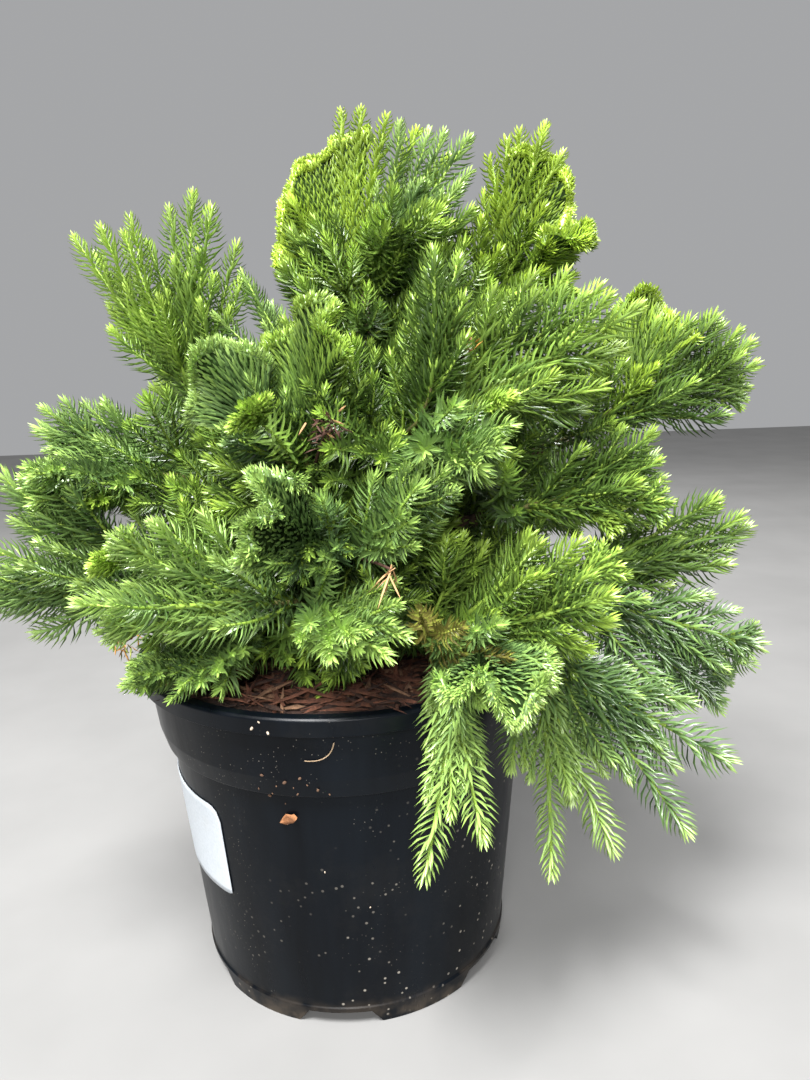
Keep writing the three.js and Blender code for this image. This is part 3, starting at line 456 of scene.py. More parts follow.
class Shader:
    """A small helper that adds nodes to one material."""

    def __init__(self, name):
        self.material = bpy.data.materials.new(name)
        self.material.use_nodes = True
        self.tree = self.material.node_tree
        self.surface = self.tree.nodes["Principled BSDF"]
        self.place = self.node("TexCoord").outputs["Object"]

    def feed(self, socket, value):
        """A number or a colour is set on the socket, and a node's output is linked to it."""
        if isinstance(value, tuple):
            socket.default_value = (*value, 1)
        elif isinstance(value, (int, float)):
            socket.default_value = value
        else:
            self.tree.links.new(value, socket)

    def node(self, kind, **inputs):
        node = self.tree.nodes.new("ShaderNode" + kind)
        for name, value in inputs.items():
            self.feed(node.inputs[name.replace("_", " ")], value)
        return node

    def set(self, **values):
        for name, value in values.items():
            self.feed(self.surface.inputs[name.replace("_", " ")], value)

    def stretched(self, x, y, z):
        mapping = self.node("Mapping", Vector=self.place)
        mapping.inputs["Scale"].default_value = (x, y, z)
        return mapping.outputs["Vector"]

    def noise(self, scale, detail=3, vector=None, roughness=0.5):
        vector = vector or self.place
        node = self.node("TexNoise", Scale=scale, Detail=detail, Roughness=roughness, Vector=vector)
        return node.outputs["Fac"]

    def ramp(self, value, *stops):
        (low, first), (high, last) = stops
        node = self.node("MapRange", From_Min=low, From_Max=high, To_Min=first, To_Max=last, Value=value)
        return node.outputs["Result"]

    def patches(self, scale, low, high, peak=1.0, **noise):
        """Nought where a noise is low, and the peak where it is high."""
        return self.ramp(self.noise(scale, **noise), (low, 0), (high, peak))

    def dots(self, scale, size):
        """One where a small dot is, and nought between the dots."""
        distance = self.node("TexVoronoi", Scale=scale, Vector=self.place).outputs["Distance"]
        return self.ramp(distance, (size * 0.6, 1), (size, 0))

    def math(self, operation, a, b):
        node = self.node("Math")
        node.operation = operation
        self.feed(node.inputs[0], a)
        self.feed(node.inputs[1], b)
        return node.outputs["Value"]

    def axis(self, name):
        return self.node("SeparateXYZ", Vector=self.place).outputs[name]

    def mix(self, share, a, b):
        node = self.node("Mix")
        node.data_type = "RGBA"
        for index, value in ((0, share), (6, a), (7, b)):
            self.feed(node.inputs[index], value)
        return node.outputs[2]

    def bump(self, height, strength, distance):
        node = self.node("Bump", Strength=strength, Distance=distance, Height=height)
        self.set(Normal=node.outputs["Normal"])


def tinted(color, tint):
    return tuple(min(channel * part, 1) for channel, part in zip(color, tint))


def leaf_material(name, color, roughness, specular):
    """Needles or green stems: a little lighter and darker from spray to spray, with a waxy sheen."""
    shader = Shader(name)
    patches = shader.patches(45, 0.35, 0.65, detail=2)
    shader.set(
        Base_Color=shader.mix(patches, tinted(color, (0.82,) * 3), tinted(color, (1.18,) * 3)),
        Roughness=shader.ramp(shader.noise(600, 2), (0.3, roughness - 0.06), (0.7, roughness + 0.08)),
        Specular_IOR_Level=specular,
    )
    return shader.material


def bark_material():
    shader = Shader("bark")
    fibres = shader.noise(260, 5, shader.stretched(1, 1, 0.16), 0.65)
    pale = shader.ramp(fibres, (0.35, 0), (0.65, 1))
    # The bark's brown is darker and less red than lit bark: partly its own colour and partly painted shade
    # of the crown's inside
    tone = shader.mix(pale, (0.026, 0.016, 0.010), (0.095, 0.055, 0.033))
    lichen = shader.patches(70, 0.58, 0.72, 0.35)
    shader.set(Base_Color=shader.mix(lichen, tone, (0.09, 0.10, 0.04)), Roughness=0.9)
    shader.bump(fibres, 0.7, 0.0008)
    return shader.material


def pot_material():
    """Near-black plastic whose bluish tint and upright streaks are partly painted sheen, with pale specks
    low on the right and dirt at its foot.
    """
    shader = Shader("pot_plastic")
    # Painted sheen: the near-black body is the plastic's own colour, while its bluish tint and upright
    # streaks are partly painted sheen, as the specular is kept low
    sheen_streaks = shader.noise(38, 4, shader.stretched(1, 1, 0.10), 0.6)
    sheen_streaks = shader.ramp(sheen_streaks, (0.35, 0), (0.7, 1))
    body = shader.mix(sheen_streaks, (0.0012, 0.0019, 0.0031), (0.0040, 0.0061, 0.0092))
    dust = shader.patches(22, 0.52, 0.75, 0.05, detail=5, roughness=0.7)
    body = shader.mix(dust, body, (0.10, 0.085, 0.065))
    low_right = shader.math("SUBTRACT", shader.axis("X"), shader.axis("Z"))
    speck_room = shader.ramp(low_right, (-0.11, 0), (0.02, 1))
    specks = shader.math("MULTIPLY", shader.dots(230, 0.17), speck_room)
    specks = shader.math("MULTIPLY", specks, shader.patches(48, 0.42, 0.56))
    fine_specks = shader.math("MULTIPLY", shader.dots(520, 0.13), shader.patches(30, 0.55, 0.66, 0.5))
    body = shader.mix(shader.math("MAXIMUM", specks, fine_specks), body, (0.34, 0.31, 0.26))
    foot = shader.ramp(shader.axis("Z"), (0.000, 0.32), (0.013, 0))
    foot_dirt = shader.math("MULTIPLY", foot, shader.patches(90, 0.42, 0.6, detail=4))
    gloss = shader.ramp(shader.noise(55, 5, shader.stretched(1, 1, 0.22), 0.7), (0.3, 0.24), (0.7, 0.40))
    shader.set(
        Base_Color=shader.mix(foot_dirt, body, (0.17, 0.13, 0.09)),
        Roughness=shader.math("MAXIMUM", gloss, shader.math("MULTIPLY", specks, 0.8)),
        Specular_IOR_Level=0.13,
    )
    shader.bump(shader.noise(420, 3), 0.06, 0.0004)
    return shader.material


def soil_material(name, low, high):
    shader = Shader(name)
    grain = shader.noise(300, 5, None, 0.7)
    shader.set(Base_Color=shader.mix(shader.ramp(grain, (0.35, 0), (0.65, 1)), low, high), Roughness=0.92)
    shader.bump(grain, 0.8, 0.0012)
    return shader.material


def label_material():
    shader = Shader("label_paper")
    fibres = shader.noise(900, 4)
    grime = shader.patches(40, 0.55, 0.8, 0.25, detail=4, roughness=0.65)
    paper = shader.mix(shader.ramp(fibres, (0.3, 0), (0.7, 1)), (0.51, 0.55, 0.585), (0.60, 0.64, 0.68))
    shader.set(Base_Color=shader.mix(grime, paper, (0.55, 0.53, 0.48)), Roughness=0.62)
    shader.bump(fibres, 0.15, 0.0001)
    return shader.material


def floor_material():
    shader = Shader("floor")
    mottle = shader.patches(9, 0.3, 0.7, detail=4)
    shader.set(Base_Color=shader.mix(mottle, (0.22, 0.218, 0.213), (0.25, 0.247, 0.242)), Roughness=0.8)
    return shader.material


SHADES = {
    "deep": (0.044, 0.088, 0.016),
    "dark": (0.099, 0.180, 0.030),
    "mid": (0.190, 0.312, 0.050),
    "fresh": (0.262, 0.405, 0.058),
    "light": (0.318, 0.476, 0.064),
    "bright": (0.362, 0.528, 0.072),
    "tip": (0.415, 0.580, 0.098),
}
# The crest web's colour is partly the green tissue of the fused shoots and partly painted shade: it is
# near-black so that the gaps between a crest's needles read as deep shade
SHADED_WEB_COLOR = (0.014, 0.030, 0.005)
NEEDLE_ROUGHNESS = 0.36
NEEDLE_SPECULAR = 1.0


def palette(prefix, tint):
    """The shades of one palette, in the order of their numbers."""
    shades = [
        leaf_material(prefix + name, tinted(color, tint), NEEDLE_ROUGHNESS, NEEDLE_SPECULAR)
        for name, color in SHADES.items()
    ]
    return shades + [leaf_material(prefix + "shaded_web", SHADED_WEB_COLOR, 0.80, 0.10)]


# Many masses, most of them low or in front, are bluer, and the crests at the top and high on the right are
# more golden
PALETTE_TINTS = {"warm_": (1, 1, 1), "cool_": (0.99, 1.0, 1.65), "gold_": (1.02, 0.99, 0.60)}
needle_shades = [shade for prefix, tint in PALETTE_TINTS.items() for shade in palette(prefix, tint)]
COOL_MASSES = {
    "spray_left_mid", "spray_left_front", "spray_left_low", "spray_left_low_upper", "crest_wave_left",
    "crest_front", "spray_front_left", "spray_front_knob", "spray_front_right", "crest_front_low",
    "hanging_front", "hanging_right_front", "spray_centre_front", "spray_right_low", "spray_back_low",
    "spray_back_left_low", "spray_pot_edge", "hanging_right", "spires_top_centre", "spires_behind_left",
}
GOLD_MASSES = {"crest_top_left", "crest_top_right", "crest_right_high", "crest_right_ledge"}


def palette_of(mass):
    if mass.name in GOLD_MASSES:
        return GOLD
    return COOL if mass.name in COOL_MASSES else WARM


STEM_YOUNG, STEM_OLD = range(2)
stem_shades = [
    leaf_material("stem_young", (0.24, 0.36, 0.050), 0.5, 0.4),
    leaf_material("stem_old", (0.13, 0.125, 0.040), 0.7, 0.3),
]
DEAD_BROWN, DEAD_TAN, DEAD_ORANGE, BRONZE, OLIVE = range(5)
dead_shades = [
    leaf_material("needles_dead_brown", (0.060, 0.028, 0.019), 0.75, 0.3),
    leaf_material("needles_dead_tan", (0.46, 0.27, 0.13), 0.7, 0.3),
    leaf_material("needles_dead_orange", (0.36, 0.17, 0.035), 0.7, 0.3),
    leaf_material("needles_bronze", (0.150, 0.135, 0.028), 0.45, 0.6),
    leaf_material("needles_olive", (0.235, 0.265, 0.040), 0.45, 0.6),
]


# Limbs


def trunk_radius(share):
    flare = np.exp(-share * TRUNK_HEIGHT / FLARE_HEIGHT)
    return TRUNK_RADIUS + (TRUNK_TIP_RADIUS - TRUNK_RADIUS) * share + FLARE_RADIUS * flare


trunk_curve = Curve(TRUNK_FOOT, TRUNK_FOOT + UP * TRUNK_HEIGHT * TRUNK_BEND_SHARE, TRUNK_TOP)


def trunk_at(height):
    """The trunk's middle and radius at a height, found in a few steps."""
    share = (height - TRUNK_FOOT[2]) / TRUNK_HEIGHT
    for _ in range(6):
        share += (height - trunk_curve.point(share)[2]) / TRUNK_HEIGHT
    return trunk_curve.point(share), float(trunk_radius(share))


Limb = namedtuple("Limb", "curve radius_of heart")


def bough(sizes):
    place, radius = trunk_at(sizes.height)
    heading = bearing(sizes.azimuth, sizes.rise)
    base = min(BOUGH_RADIUS, radius * BOUGH_TO_TRUNK)
    start = place + heading * radius * LIMB_START
    end = place + heading * sizes.length * BOUGH_WOOD_SHARE
    middle = (start + end) / 2 - UP * BOUGH_SAG * sizes.length
    heart = place + heading * sizes.length
    return Limb(Curve(start, middle, end), lambda share: base + (BOUGH_TIP_RADIUS - base) * share, heart)


limbs = {"trunk": Limb(trunk_curve, trunk_radius, TRUNK_TOP)}
limbs.update({name: bough(sizes) for name, sizes in BOUGHS.items()})


def nearest_limb_point(place):
    shares = np.linspace(0.3, 1, 30)
    points = np.concatenate([limb.curve.point(shares) for limb in limbs.values()])
    return points[np.argmin(np.linalg.norm(points - place, axis=1))]


def add_rod(store, curve, radius_of, sides, rings, shade, relief=None):
    """A tapering rod along a curve, with closed ends and, for bark, a relief around it."""
    share = np.linspace(0, 1, rings)
    _, normal, across = curve.frames(share)
    turn = ring_turns(sides)
    radius = np.asarray(radius_of(share), float)[:, None] * np.ones(sides)
    if relief is not None:
        radius = radius * relief(share[:, None] * curve.length, turn[None, :])
    turn = turn[None, :, None]
    ring = np.cos(turn) * normal[:, None, :] + np.sin(turn) * across[:, None, :]
    corners = curve.point(share)[:, None, :] + ring * radius[:, :, None]
    corners = np.concatenate([corners.reshape(-1, 3), curve.point(np.array([0.0, 1.0]))])
    store.add(corners, closed_tube_triangles(rings, sides), shade)


BARK_WAVES = 6
BARK_BODY = 0.96
BARK_RIDGE = 0.16
BARK_CRACK = 0.10
BARK_KNOT = 0.03


def bark_relief(seed):
    """Long fibrous ridges that wander around a limb."""
    rng = np.random.default_rng(seed)
    waves = [(rng.integers(3, 12), rng.uniform(0.02, 0.09), rng.uniform(0, 6.3)) for _ in range(BARK_WAVES)]

    def relief(distance, turn):
        ridges = sum(
            np.sin(count * turn + twist * distance + phase) / BARK_WAVES for count, twist, phase in waves
        )
        cracks = np.abs(np.sin(5 * turn + distance * 0.05 + seed))
        knots = np.sin(distance * 0.21 + seed) * np.cos(turn * 2 + seed)
        return BARK_BODY + BARK_RIDGE * np.abs(ridges) - BARK_CRACK * cracks + BARK_KNOT * knots

    return relief


def build_limbs():
    store = Store()
    for number, (name, limb) in enumerate(limbs.items()):
        sides, rings = (40, 70) if name == "trunk" else (18, 26)
        add_rod(store, limb.curve, limb.radius_of, sides, rings, 0, bark_relief(number + 1))
    nodes = ["trunk"] + ["bough_" + name for name in BOUGHS]
    finish_piece(store.piece("bark_limbs", [bark_material()]), "bark", *nodes)


# Where foliage may not be: in the pot's wall and in the growing medium

STEP_HEIGHT = 0.1
OUTSIDE = [
    (0, FOOT_UNDER_RADIUS),
    (FOOT_HEIGHT, FOOT_RADIUS),
    (FOOT_HEIGHT + STEP_HEIGHT, FOOT_RADIUS - FOOT_LEDGE),
    (COLLAR_LOW_HEIGHT - STEP_HEIGHT, NECK_RADIUS),
    (COLLAR_LOW_HEIGHT, COLLAR_LOW_RADIUS),
    (COLLAR_BEND_HEIGHT, COLLAR_BEND_RADIUS),
    (LIP_LOW_HEIGHT - STEP_HEIGHT, COLLAR_TOP_RADIUS),
    (LIP_LOW_HEIGHT, LIP_LOW_RADIUS),
    (POT_HEIGHT, RIM_RADIUS),
]


def pot_wall(height):
    """The radius of the pot's outside at a height."""
    return np.interp(height, *zip(*OUTSIDE))


def soil_height(x, y):
    heap = smooth(np.hypot(x, y), SOIL_FLAT_RADIUS, NECK_RADIUS)
    front = np.clip(-y / NECK_RADIUS, 0, 1)
    return SOIL_LEVEL + heap * (SOIL_FRONT_RISE * front + np.sin(x / 9) * np.cos(y / 11))


def is_clear(points, margin):
    """Which points are outside the pot and above what it holds."""
    x, y, z = points[..., 0], points[..., 1], points[..., 2]
    radius = np.hypot(x, y)
    above = z > POT_HEIGHT + margin
    over_soil = (radius < RIM_RADIUS - RIM_WIDTH - margin) & (z > soil_height(x, y) + margin)
    beside = (radius > pot_wall(z) + margin) & (z > margin)
    return above | over_soil | beside


# Needles and shoots

# A needle is a keeled blade: two corners at its root, three where it bends and one at its tip
NEEDLE_TRIANGLES = np.array([(0, 1, 3), (0, 3, 2), (1, 4, 3), (2, 3, 5), (3, 4, 5)])
NEEDLE_CORNERS = 6
TIP_FACES = np.array([False, False, False, True, True])

# Where a plant's needles and twigs are gathered, and the random numbers that vary them
Growth = namedtuple("Growth", "needles twigs rng")


def add_needles(
    store, roots, tangents, outwards, lengths, widths, openings, shades, tip_shades, closing=NEEDLE_CLOSING
):
    """Awl-shaped needles that leave a shoot at an angle and bend forward along it."""
    side = unit(np.cross(tangents, outwards))
    half = widths[:, None] / 2
    opened = np.radians(openings)[:, None]
    closed = opened * closing
    foot = roots - outwards * NEEDLE_SUNK
    to_bend = lengths[:, None] * NEEDLE_BEND_SHARE
    bend = foot + to_bend * (tangents * np.cos(opened) + outwards * np.sin(opened))
    reach = lengths[:, None] * (1 - NEEDLE_BEND_SHARE)
    tip = bend + reach * (tangents * np.cos(closed) + outwards * np.sin(closed))
    lift = outwards * np.cos(opened) - tangents * np.sin(opened)
    corners = np.stack(
        [
            foot - side * half * NEEDLE_FOOT_WIDTH,
            foot + side * half * NEEDLE_FOOT_WIDTH,
            bend - (side + lift * NEEDLE_KEEL) * half,
            bend + lift * half,
            bend + (side - lift * NEEDLE_KEEL) * half,
            tip,
        ],
        1,
    )
    keep = is_clear(tip, NEEDLE_ROOM) & is_clear(bend, NEEDLE_ROOM)
    corners = corners[keep]
    first = np.arange(len(corners))[:, None, None] * NEEDLE_CORNERS
    triangles = (NEEDLE_TRIANGLES[None] + first).reshape(-1, 3)
    faces = np.where(TIP_FACES[None], tip_shades[keep][:, None], shades[keep][:, None])
    store.add(corners.reshape(-1, 3), triangles, faces.ravel())


def shade_needles(tone, to_tip, length, rng):
    """Darker at a shoot's foot and steadily brighter towards its tip."""
    old = OLD_DROP * (1 - smooth(1 - to_tip / length, 0, OLD_SHARE))
    young = YOUNG_RISE * np.clip(1 - to_tip / min(YOUNG_LENGTH, YOUNG_SHARE * length), 0, 1) ** 1.3
    level = np.round(tone - old + young + rng.normal(0, 0.33, len(to_tip))).astype(int)
    return np.clip(level, DEEP, BRIGHT), np.clip(level + (to_tip < TIP_LENGTH), DEEP, TIP)


def add_shoot(
    growth, curve, tone, spacing, needle, radius=SHOOT_RADIUS, bare=0.0, taper_length=TAPER_LENGTH
):
    """One shoot: its green axis, and needles in winding rows that grow short and close towards the tip."""
    length = curve.length
    if length < SHORTEST_SHOOT:
        return
    rng = growth.rng
    vigour = rng.random()
    stem_shade = STEM_YOUNG if bare < 0.1 else STEM_OLD
    add_rod(growth.twigs, curve, lambda share: radius * (1 - SHOOT_NARROWING * share), 3, 4, stem_shade)
    body = np.arange(bare * length + 1, length - TAPER_LENGTH, spacing * between(VIGOUR_SPACING, vigour))
    taper = np.arange(max(length - TAPER_LENGTH, 1), length - BUD_LENGTH, TAPER_SPACING)
    bud = np.arange(length - BUD_LENGTH, length, BUD_SPACING)
    distance = np.concatenate([body, taper, bud])
    count = len(distance)
    distance = distance + rng.uniform(-NEEDLE_SHIFT, NEEDLE_SHIFT, count)
    to_tip = np.clip(length - distance, 0, None)
    tangent, normal, across = curve.frames(curve.share_at(distance))
    turn = (np.arange(count) * ROW_TURN + rng.uniform(0, PHASES) + rng.normal(0, ROW_NOISE, count))[:, None]
    outward = np.cos(turn) * normal + np.sin(turn) * across
    swell = 0.95 + 0.08 * np.sin(distance / 9 + rng.uniform(0, PHASES))
    open_share = np.clip(to_tip / min(taper_length, 0.75 * length), 0, 1)
    opened = open_share**TAPER_POWER
    full = needle * between(VIGOUR_LENGTH, vigour)
    lengths = full * swell * between((TIP_NEEDLE_SHARE, 1), opened) * rng.uniform(0.94, 1.06, count)
    openings = between((TIP_OPENING, NEEDLE_OPENING), opened) + rng.normal(0, 2.5, count)
    roots = curve.point(curve.share_at(distance)) + outward * radius * 0.7
    width = NEEDLE_WIDTH * between(VIGOUR_WIDTH, vigour)
    widths = width * (0.85 + 0.15 * open_share) * rng.uniform(0.92, 1.08, count)
    shades, tip_shades = shade_needles(tone, to_tip, length, rng)
    add_needles(growth.needles, roots, tangent, outward, lengths, widths, openings, shades, tip_shades)


# The masses


def stem_foot(mass):
    """Where a mass's stem starts, where its fan would meet, and which way the stem leaves."""
    if mass.height:
        place, radius = trunk_at(mass.height)
        outward = bearing(mass.azimuth)
        foot = place + outward * radius * LIMB_START
        return foot, place + outward * (radius + STEM_RADIUS), bearing(mass.azimuth, TRUNK_LEAVE_RISE)
    limb = limbs[mass.limb]
    tangent, normal, across = limb.curve.frames(1.0)

    def turn_of(other):
        aim = bearing(other.azimuth, other.rise)
        return math.atan2(aim @ across, aim @ normal)

    group = [other for other in MASSES if other.limb == mass.limb and not other.height]
    turns = sorted(turn_of(other) for other in group)
    spacing = 2 * math.pi / len(group)
    first = sum(turn - i * spacing for i, turn in enumerate(turns)) / len(group)
    turn = first + turns.index(turn_of(mass)) * spacing
    offset = float(limb.radius_of(1.0)) - STEM_RADIUS - STEM_INSET if len(group) > 1 else 0
    foot = limb.curve.point(1.0) + (normal * math.cos(turn) + across * math.sin(turn)) * offset
    return foot, limb.heart, tangent


class Plan:
    """A mass's stem and the fan of shoots that leaves it."""

    def __init__(self, number, mass):
        self.mass = mass
        self.seed = number + 1
        foot, self.heart, leave = stem_foot(mass)
        self.aim = bearing(mass.azimuth, mass.rise)
        level = left_of(mass.azimuth)
        upright = np.cross(self.aim, level)
        roll = math.radians(mass.roll)
        self.side = level * math.cos(roll) + upright * math.sin(roll)
        self.face = -level * math.sin(roll) + upright * math.cos(roll)
        straight = np.linalg.norm(foot - self.heart) * STEM_STRAIGHT + mass.reach * STEM_EASE
        self.stem = Curve(foot, foot + leave * straight, self.heart + self.aim * mass.reach * STEM_SHARE)
        order = range(mass.shoots)
        self.spreads = [(i + 0.5) / mass.shoots * 2 - 1 for i in order]
        self.wobbles = [(scatter(self.seed, i) * 2 - 1) * mass.depth for i in order]
        self.shortened = [TIP_SCATTER * scatter(self.seed, i + 0.5) for i in order]
        self.leader_shares = LEADER_SHARES.get(mass.name, [1] * mass.shoots)

    def leader(self, spread, stretch=1.0):
        """The shoot at any place across the fan, from -1 to 1."""
        mass = self.mass
        in_fan = math.radians(mass.breadth * spread)
        out_of_fan = math.radians(np.interp(spread, self.spreads, self.wobbles))
        heading = (
            self.aim * math.cos(in_fan) * math.cos(out_of_fan)
            + self.side * math.sin(in_fan) * math.cos(out_of_fan)
            + self.face * math.sin(out_of_fan)
        )
        fall = TIP_FALL * abs(spread) ** TIP_FALL_POWER
        shortened = fall + np.interp(spread, self.spreads, self.shortened)
        stretch = stretch * np.interp(spread, self.spreads, self.leader_shares)
        reach = mass.reach * (1 - shortened + mass.skew * spread) * stretch
        tip = self.heart + heading * reach + UP * mass.sweep
        if mass.kind == "crest":
            root = self.stem.point(STEM_TIP_ROOT) + self.side * spread * CREST_MARGIN
        else:
            root = self.stem.point(STEM_TIP_ROOT - STEM_ROOT_SPAN * abs(spread))
        middle = root + (tip - root) * SHOOT_MIDDLE + self.stem.tangent(STEM_TIP_ROOT) * reach * SHOOT_BOW
        middle = middle - UP * np.sign(mass.sweep) * reach * SHOOT_SETTLE
        return Curve(root, middle, tip)


# Side shoots, crested tips and the short shoots around a stem

SIDE_OUT = 0.72
SIDE_ONWARD = 0.28
SIDE_LIFT = 0.10
SIDE_SHIFT = 0.07
SIDE_ROLL = 1.1
SIDE_FALL = (1.15, 0.40)
SIDE_NEEDLE = 0.94
SIDE_RADIUS = 0.95
SIDE_DARKER_SHARE = 0.3
COLLAR_PLACES = (0.30, 0.92)
COLLAR_SHORTEST = 28
LEADER_NEEDLE = 1.04
LEADER_RADIUS = 1.35
LEADER_BARE = 0.04
CRESTED_TIP_SHARE = 0.22
CRESTED_TIP_SHOOTS = 5
CRESTED_TIP_REACH = 13


def side_shoot(leader, share, direction, length):
    """A shoot that leaves a leader and bends back towards the leader's own way."""
    root = leader.point(share)
    tip = root + unit(direction * SIDE_OUT + leader.tangent(share) * SIDE_ONWARD + UP * SIDE_LIFT) * length
    return Curve(root, root + unit(direction) * length * 0.5, tip)


def add_side_shoots(growth, leader, side, habit, tone):
    """A pair of side shoots on a leader, turned a little out of its fan."""
    opening = math.radians(habit.opening)
    rng = growth.rng
    for hand in (1, -1):
        place = habit.place + rng.uniform(-SIDE_SHIFT, SIDE_SHIFT)
        onward = leader.tangent(place)
        flat = unit(np.cross(np.cross(onward, side), onward))
        raised = np.cross(onward, flat)
        roll = rng.uniform(-SIDE_ROLL, SIDE_ROLL)
        outward = flat * hand * math.cos(roll) + raised * math.sin(roll)
        direction = onward * math.cos(opening) + outward * math.sin(opening)
        length = leader.length * habit.share * between(SIDE_FALL, place) * rng.uniform(0.8, 1.2)
        curve = side_shoot(leader, place, direction, length)
        shade = tone - (rng.random() < SIDE_DARKER_SHARE)
        add_shoot(growth, curve, shade, habit.spacing, habit.needle * SIDE_NEEDLE, SIDE_RADIUS)


def add_crested_tip(growth, leader, side, tone):
    """A row of short shoots that stand side by side at a leader's end."""
    onward = leader.tangent(0.97)
    flat = unit(np.cross(np.cross(onward, side), onward))
    root = leader.point(0.86)
    for order in range(CRESTED_TIP_SHOOTS):
        lean = (order / (CRESTED_TIP_SHOOTS - 1) - 0.5) * 2
        heading = unit(onward + flat * lean * 0.75)
        start = root + flat * lean * 2.2
        reach = CRESTED_TIP_REACH * (1 - 0.22 * abs(lean))
        curve = Curve(start, start + onward * reach * 0.5, start + heading * reach)
        add_shoot(growth, curve, tone, *CRESTED_TIP_SHOOT)


def add_stem(growth, plan):
    """A mass's stem, with old needles on it, and short shoots all round that hide where the fan starts."""
    mass = plan.mass
    add_shoot(growth, plan.stem, DARK, *STEM_SHOOT)
    habit = HABITS[mass.kind]
    tone = min(mass.tone, MID)
    count = COLLAR_SHOOTS[mass.kind]
    for number in range(count):
        turn = number * GOLDEN_TURN + plan.seed
        direction = unit(plan.aim + plan.face * math.cos(turn) + plan.side * math.sin(turn))
        length = max(mass.reach * growth.rng.uniform(0.34, 0.50), COLLAR_SHORTEST)
        curve = side_shoot(plan.stem, between(COLLAR_PLACES, number / count), direction, length)
        add_shoot(growth, curve, tone, habit.spacing, habit.needle, 1.05)
        if mass.kind == "crest":
            add_side_shoots(growth, curve, plan.side, habit, tone)


def add_spray(plan, needles, twigs):
    """The source's leaders, each carried to side shoots in the fan and out of it."""
    mass = plan.mass
    needles.palette = palette_of(mass)
    growth = Growth(needles, twigs, np.random.default_rng(plan.seed))
    habit = HABITS[mass.kind]
    habit = habit._replace(needle=habit.needle * SLIM.get(mass.name, 1))
    needle = habit.needle * LEADER_NEEDLE
    add_stem(growth, plan)
    for spread in plan.spreads:
        leader = plan.leader(spread)
        add_shoot(growth, leader, mass.tone, habit.spacing, needle, LEADER_RADIUS, LEADER_BARE)
        add_side_shoots(growth, leader, plan.side, habit, mass.tone)
        if mass.kind == "spray" and growth.rng.random() < CRESTED_TIP_SHARE:
            add_crested_tip(growth, leader, plan.side, mass.tone)


# Crests: fans whose shoots have grown together. The two top ones are bright, finer and flatter

CrestLook = namedtuple(
    "CrestLook",
    "column_step row_step wave lobe needle opening lean young_length bead rim_rounds rim_needle rim_shades",
)
BRIGHT_CREST = CrestLook(2.9, 2.1, 5.0, 0.0, 6.6, 40, 0.55, 13, 2.7, 32, 0.70, (LIGHT, BRIGHT))
DARK_CREST = CrestLook(2.2, 1.7, 7.5, 0.10, 9.0, 48, 0.15, 8, 1.4, 22, 1.4, (MID, LIGHT))
CREST_FURROW_SHADE = 0.9
CREST_EDGE = 0.05
CREST_SHEET = 1.0
CREST_SHEET_ROWS = 14
CREST_NEEDLE_WIDTH = 1.05
CREST_TIP_OPENING = 26
CREST_OLD_DROP = 1.6
LOOSE_SHARE = 0.3
LOOSE_PATH = ((0.35, 2.5), (0.7, 5), (1.0, 2))
RIM_SIDES = 6
RIM_SHARES = np.array([0.93, 0.98])
RIM_NEEDLE_WIDTH = 0.72
RIM_NEEDLE_LENGTHS = (1.9, 3.3)
RIM_OPENINGS = (10, 75)
RIM_CLOSING = 0.8

# The places across the fan where a top crest's sheet starts and ends, how far its rim goes at some places,
# and where fingers stand free of it
CrestShape = namedtuple("CrestShape", "first last places stretches fingers")
CREST_SHAPES = {
    "crest_top_left": CrestShape(
        -0.20,
        0.98,
        (-0.2, 0, 0.15, 0.35, 0.6, 1),
        (0.90, 0.91, 0.92, 0.97, 1.04, 1.05),
        (-0.86, -0.57, -0.33, -0.14, 0.0),
    ),
    "crest_top_right": CrestShape(
        -1.30,
        0.42,
        (-1.3, -0.8, -0.4, 0, 0.4),
        (0.92, 1.0, 0.94, 0.84, 0.86),
        (0.33, 0.52, 0.8),
    ),
}


class CrestSheet:
    """The smooth surface of a crest: ribs side by side, with a rim that waves and is scalloped."""

    def __init__(self, plan):
        self.plan = plan
        self.rng = np.random.default_rng(plan.seed + 500)
        self.phase = self.rng.uniform(0, PHASES, 3)
        self.look = BRIGHT_CREST if plan.mass.tone == LIGHT else DARK_CREST
        plain = CrestShape(plan.spreads[0] - CREST_EDGE, plan.spreads[-1] + CREST_EDGE, (0,), (1,), ())
        self.shape = CREST_SHAPES.get(plan.mass.name, plain)
        rim = np.array([rib.point(1.0) for rib in self.ribs_at(24)])
        self.rim_length = np.linalg.norm(np.diff(rim, axis=0), axis=1).sum()
        self.columns = max(int(self.rim_length / self.look.column_step), 8)
        self.ribs = self.ribs_at(self.columns)
        self.length = float(np.mean([rib.length for rib in self.ribs]))

    def ribs_at(self, count):
        shape = self.shape
        spreads = np.linspace(shape.first, shape.last, count)
        stretches = np.interp(spreads, shape.places, shape.stretches)
        return [self.plan.leader(spread, stretch) for spread, stretch in zip(spreads, stretches)]

    def ripple(self, wavelength, order):
        across = np.linspace(0, self.rim_length, self.columns)
        return np.sin(across / wavelength + self.phase[order])

    def points(self, shares):
        """Points by rib and by share along it."""
        scallop = 1 + 0.030 * self.ripple(3.6, 0) + 0.022 * self.ripple(8.1, 1)
        scallop = scallop * (1 + self.look.lobe * self.ripple(7.3, 2))
        flat = np.array(
            [rib.point(np.clip(shares * lobe, 0, 1.02)) for rib, lobe in zip(self.ribs, scallop)]
        )
        swing = self.ripple(3.1, 2) * 0.6 + self.ripple(6.7, 0) * 0.5
        wave = self.look.wave * swing[:, None] * np.asarray(shares)[None, :] ** 3
        return flat + wave[:, :, None] * self.plan.face


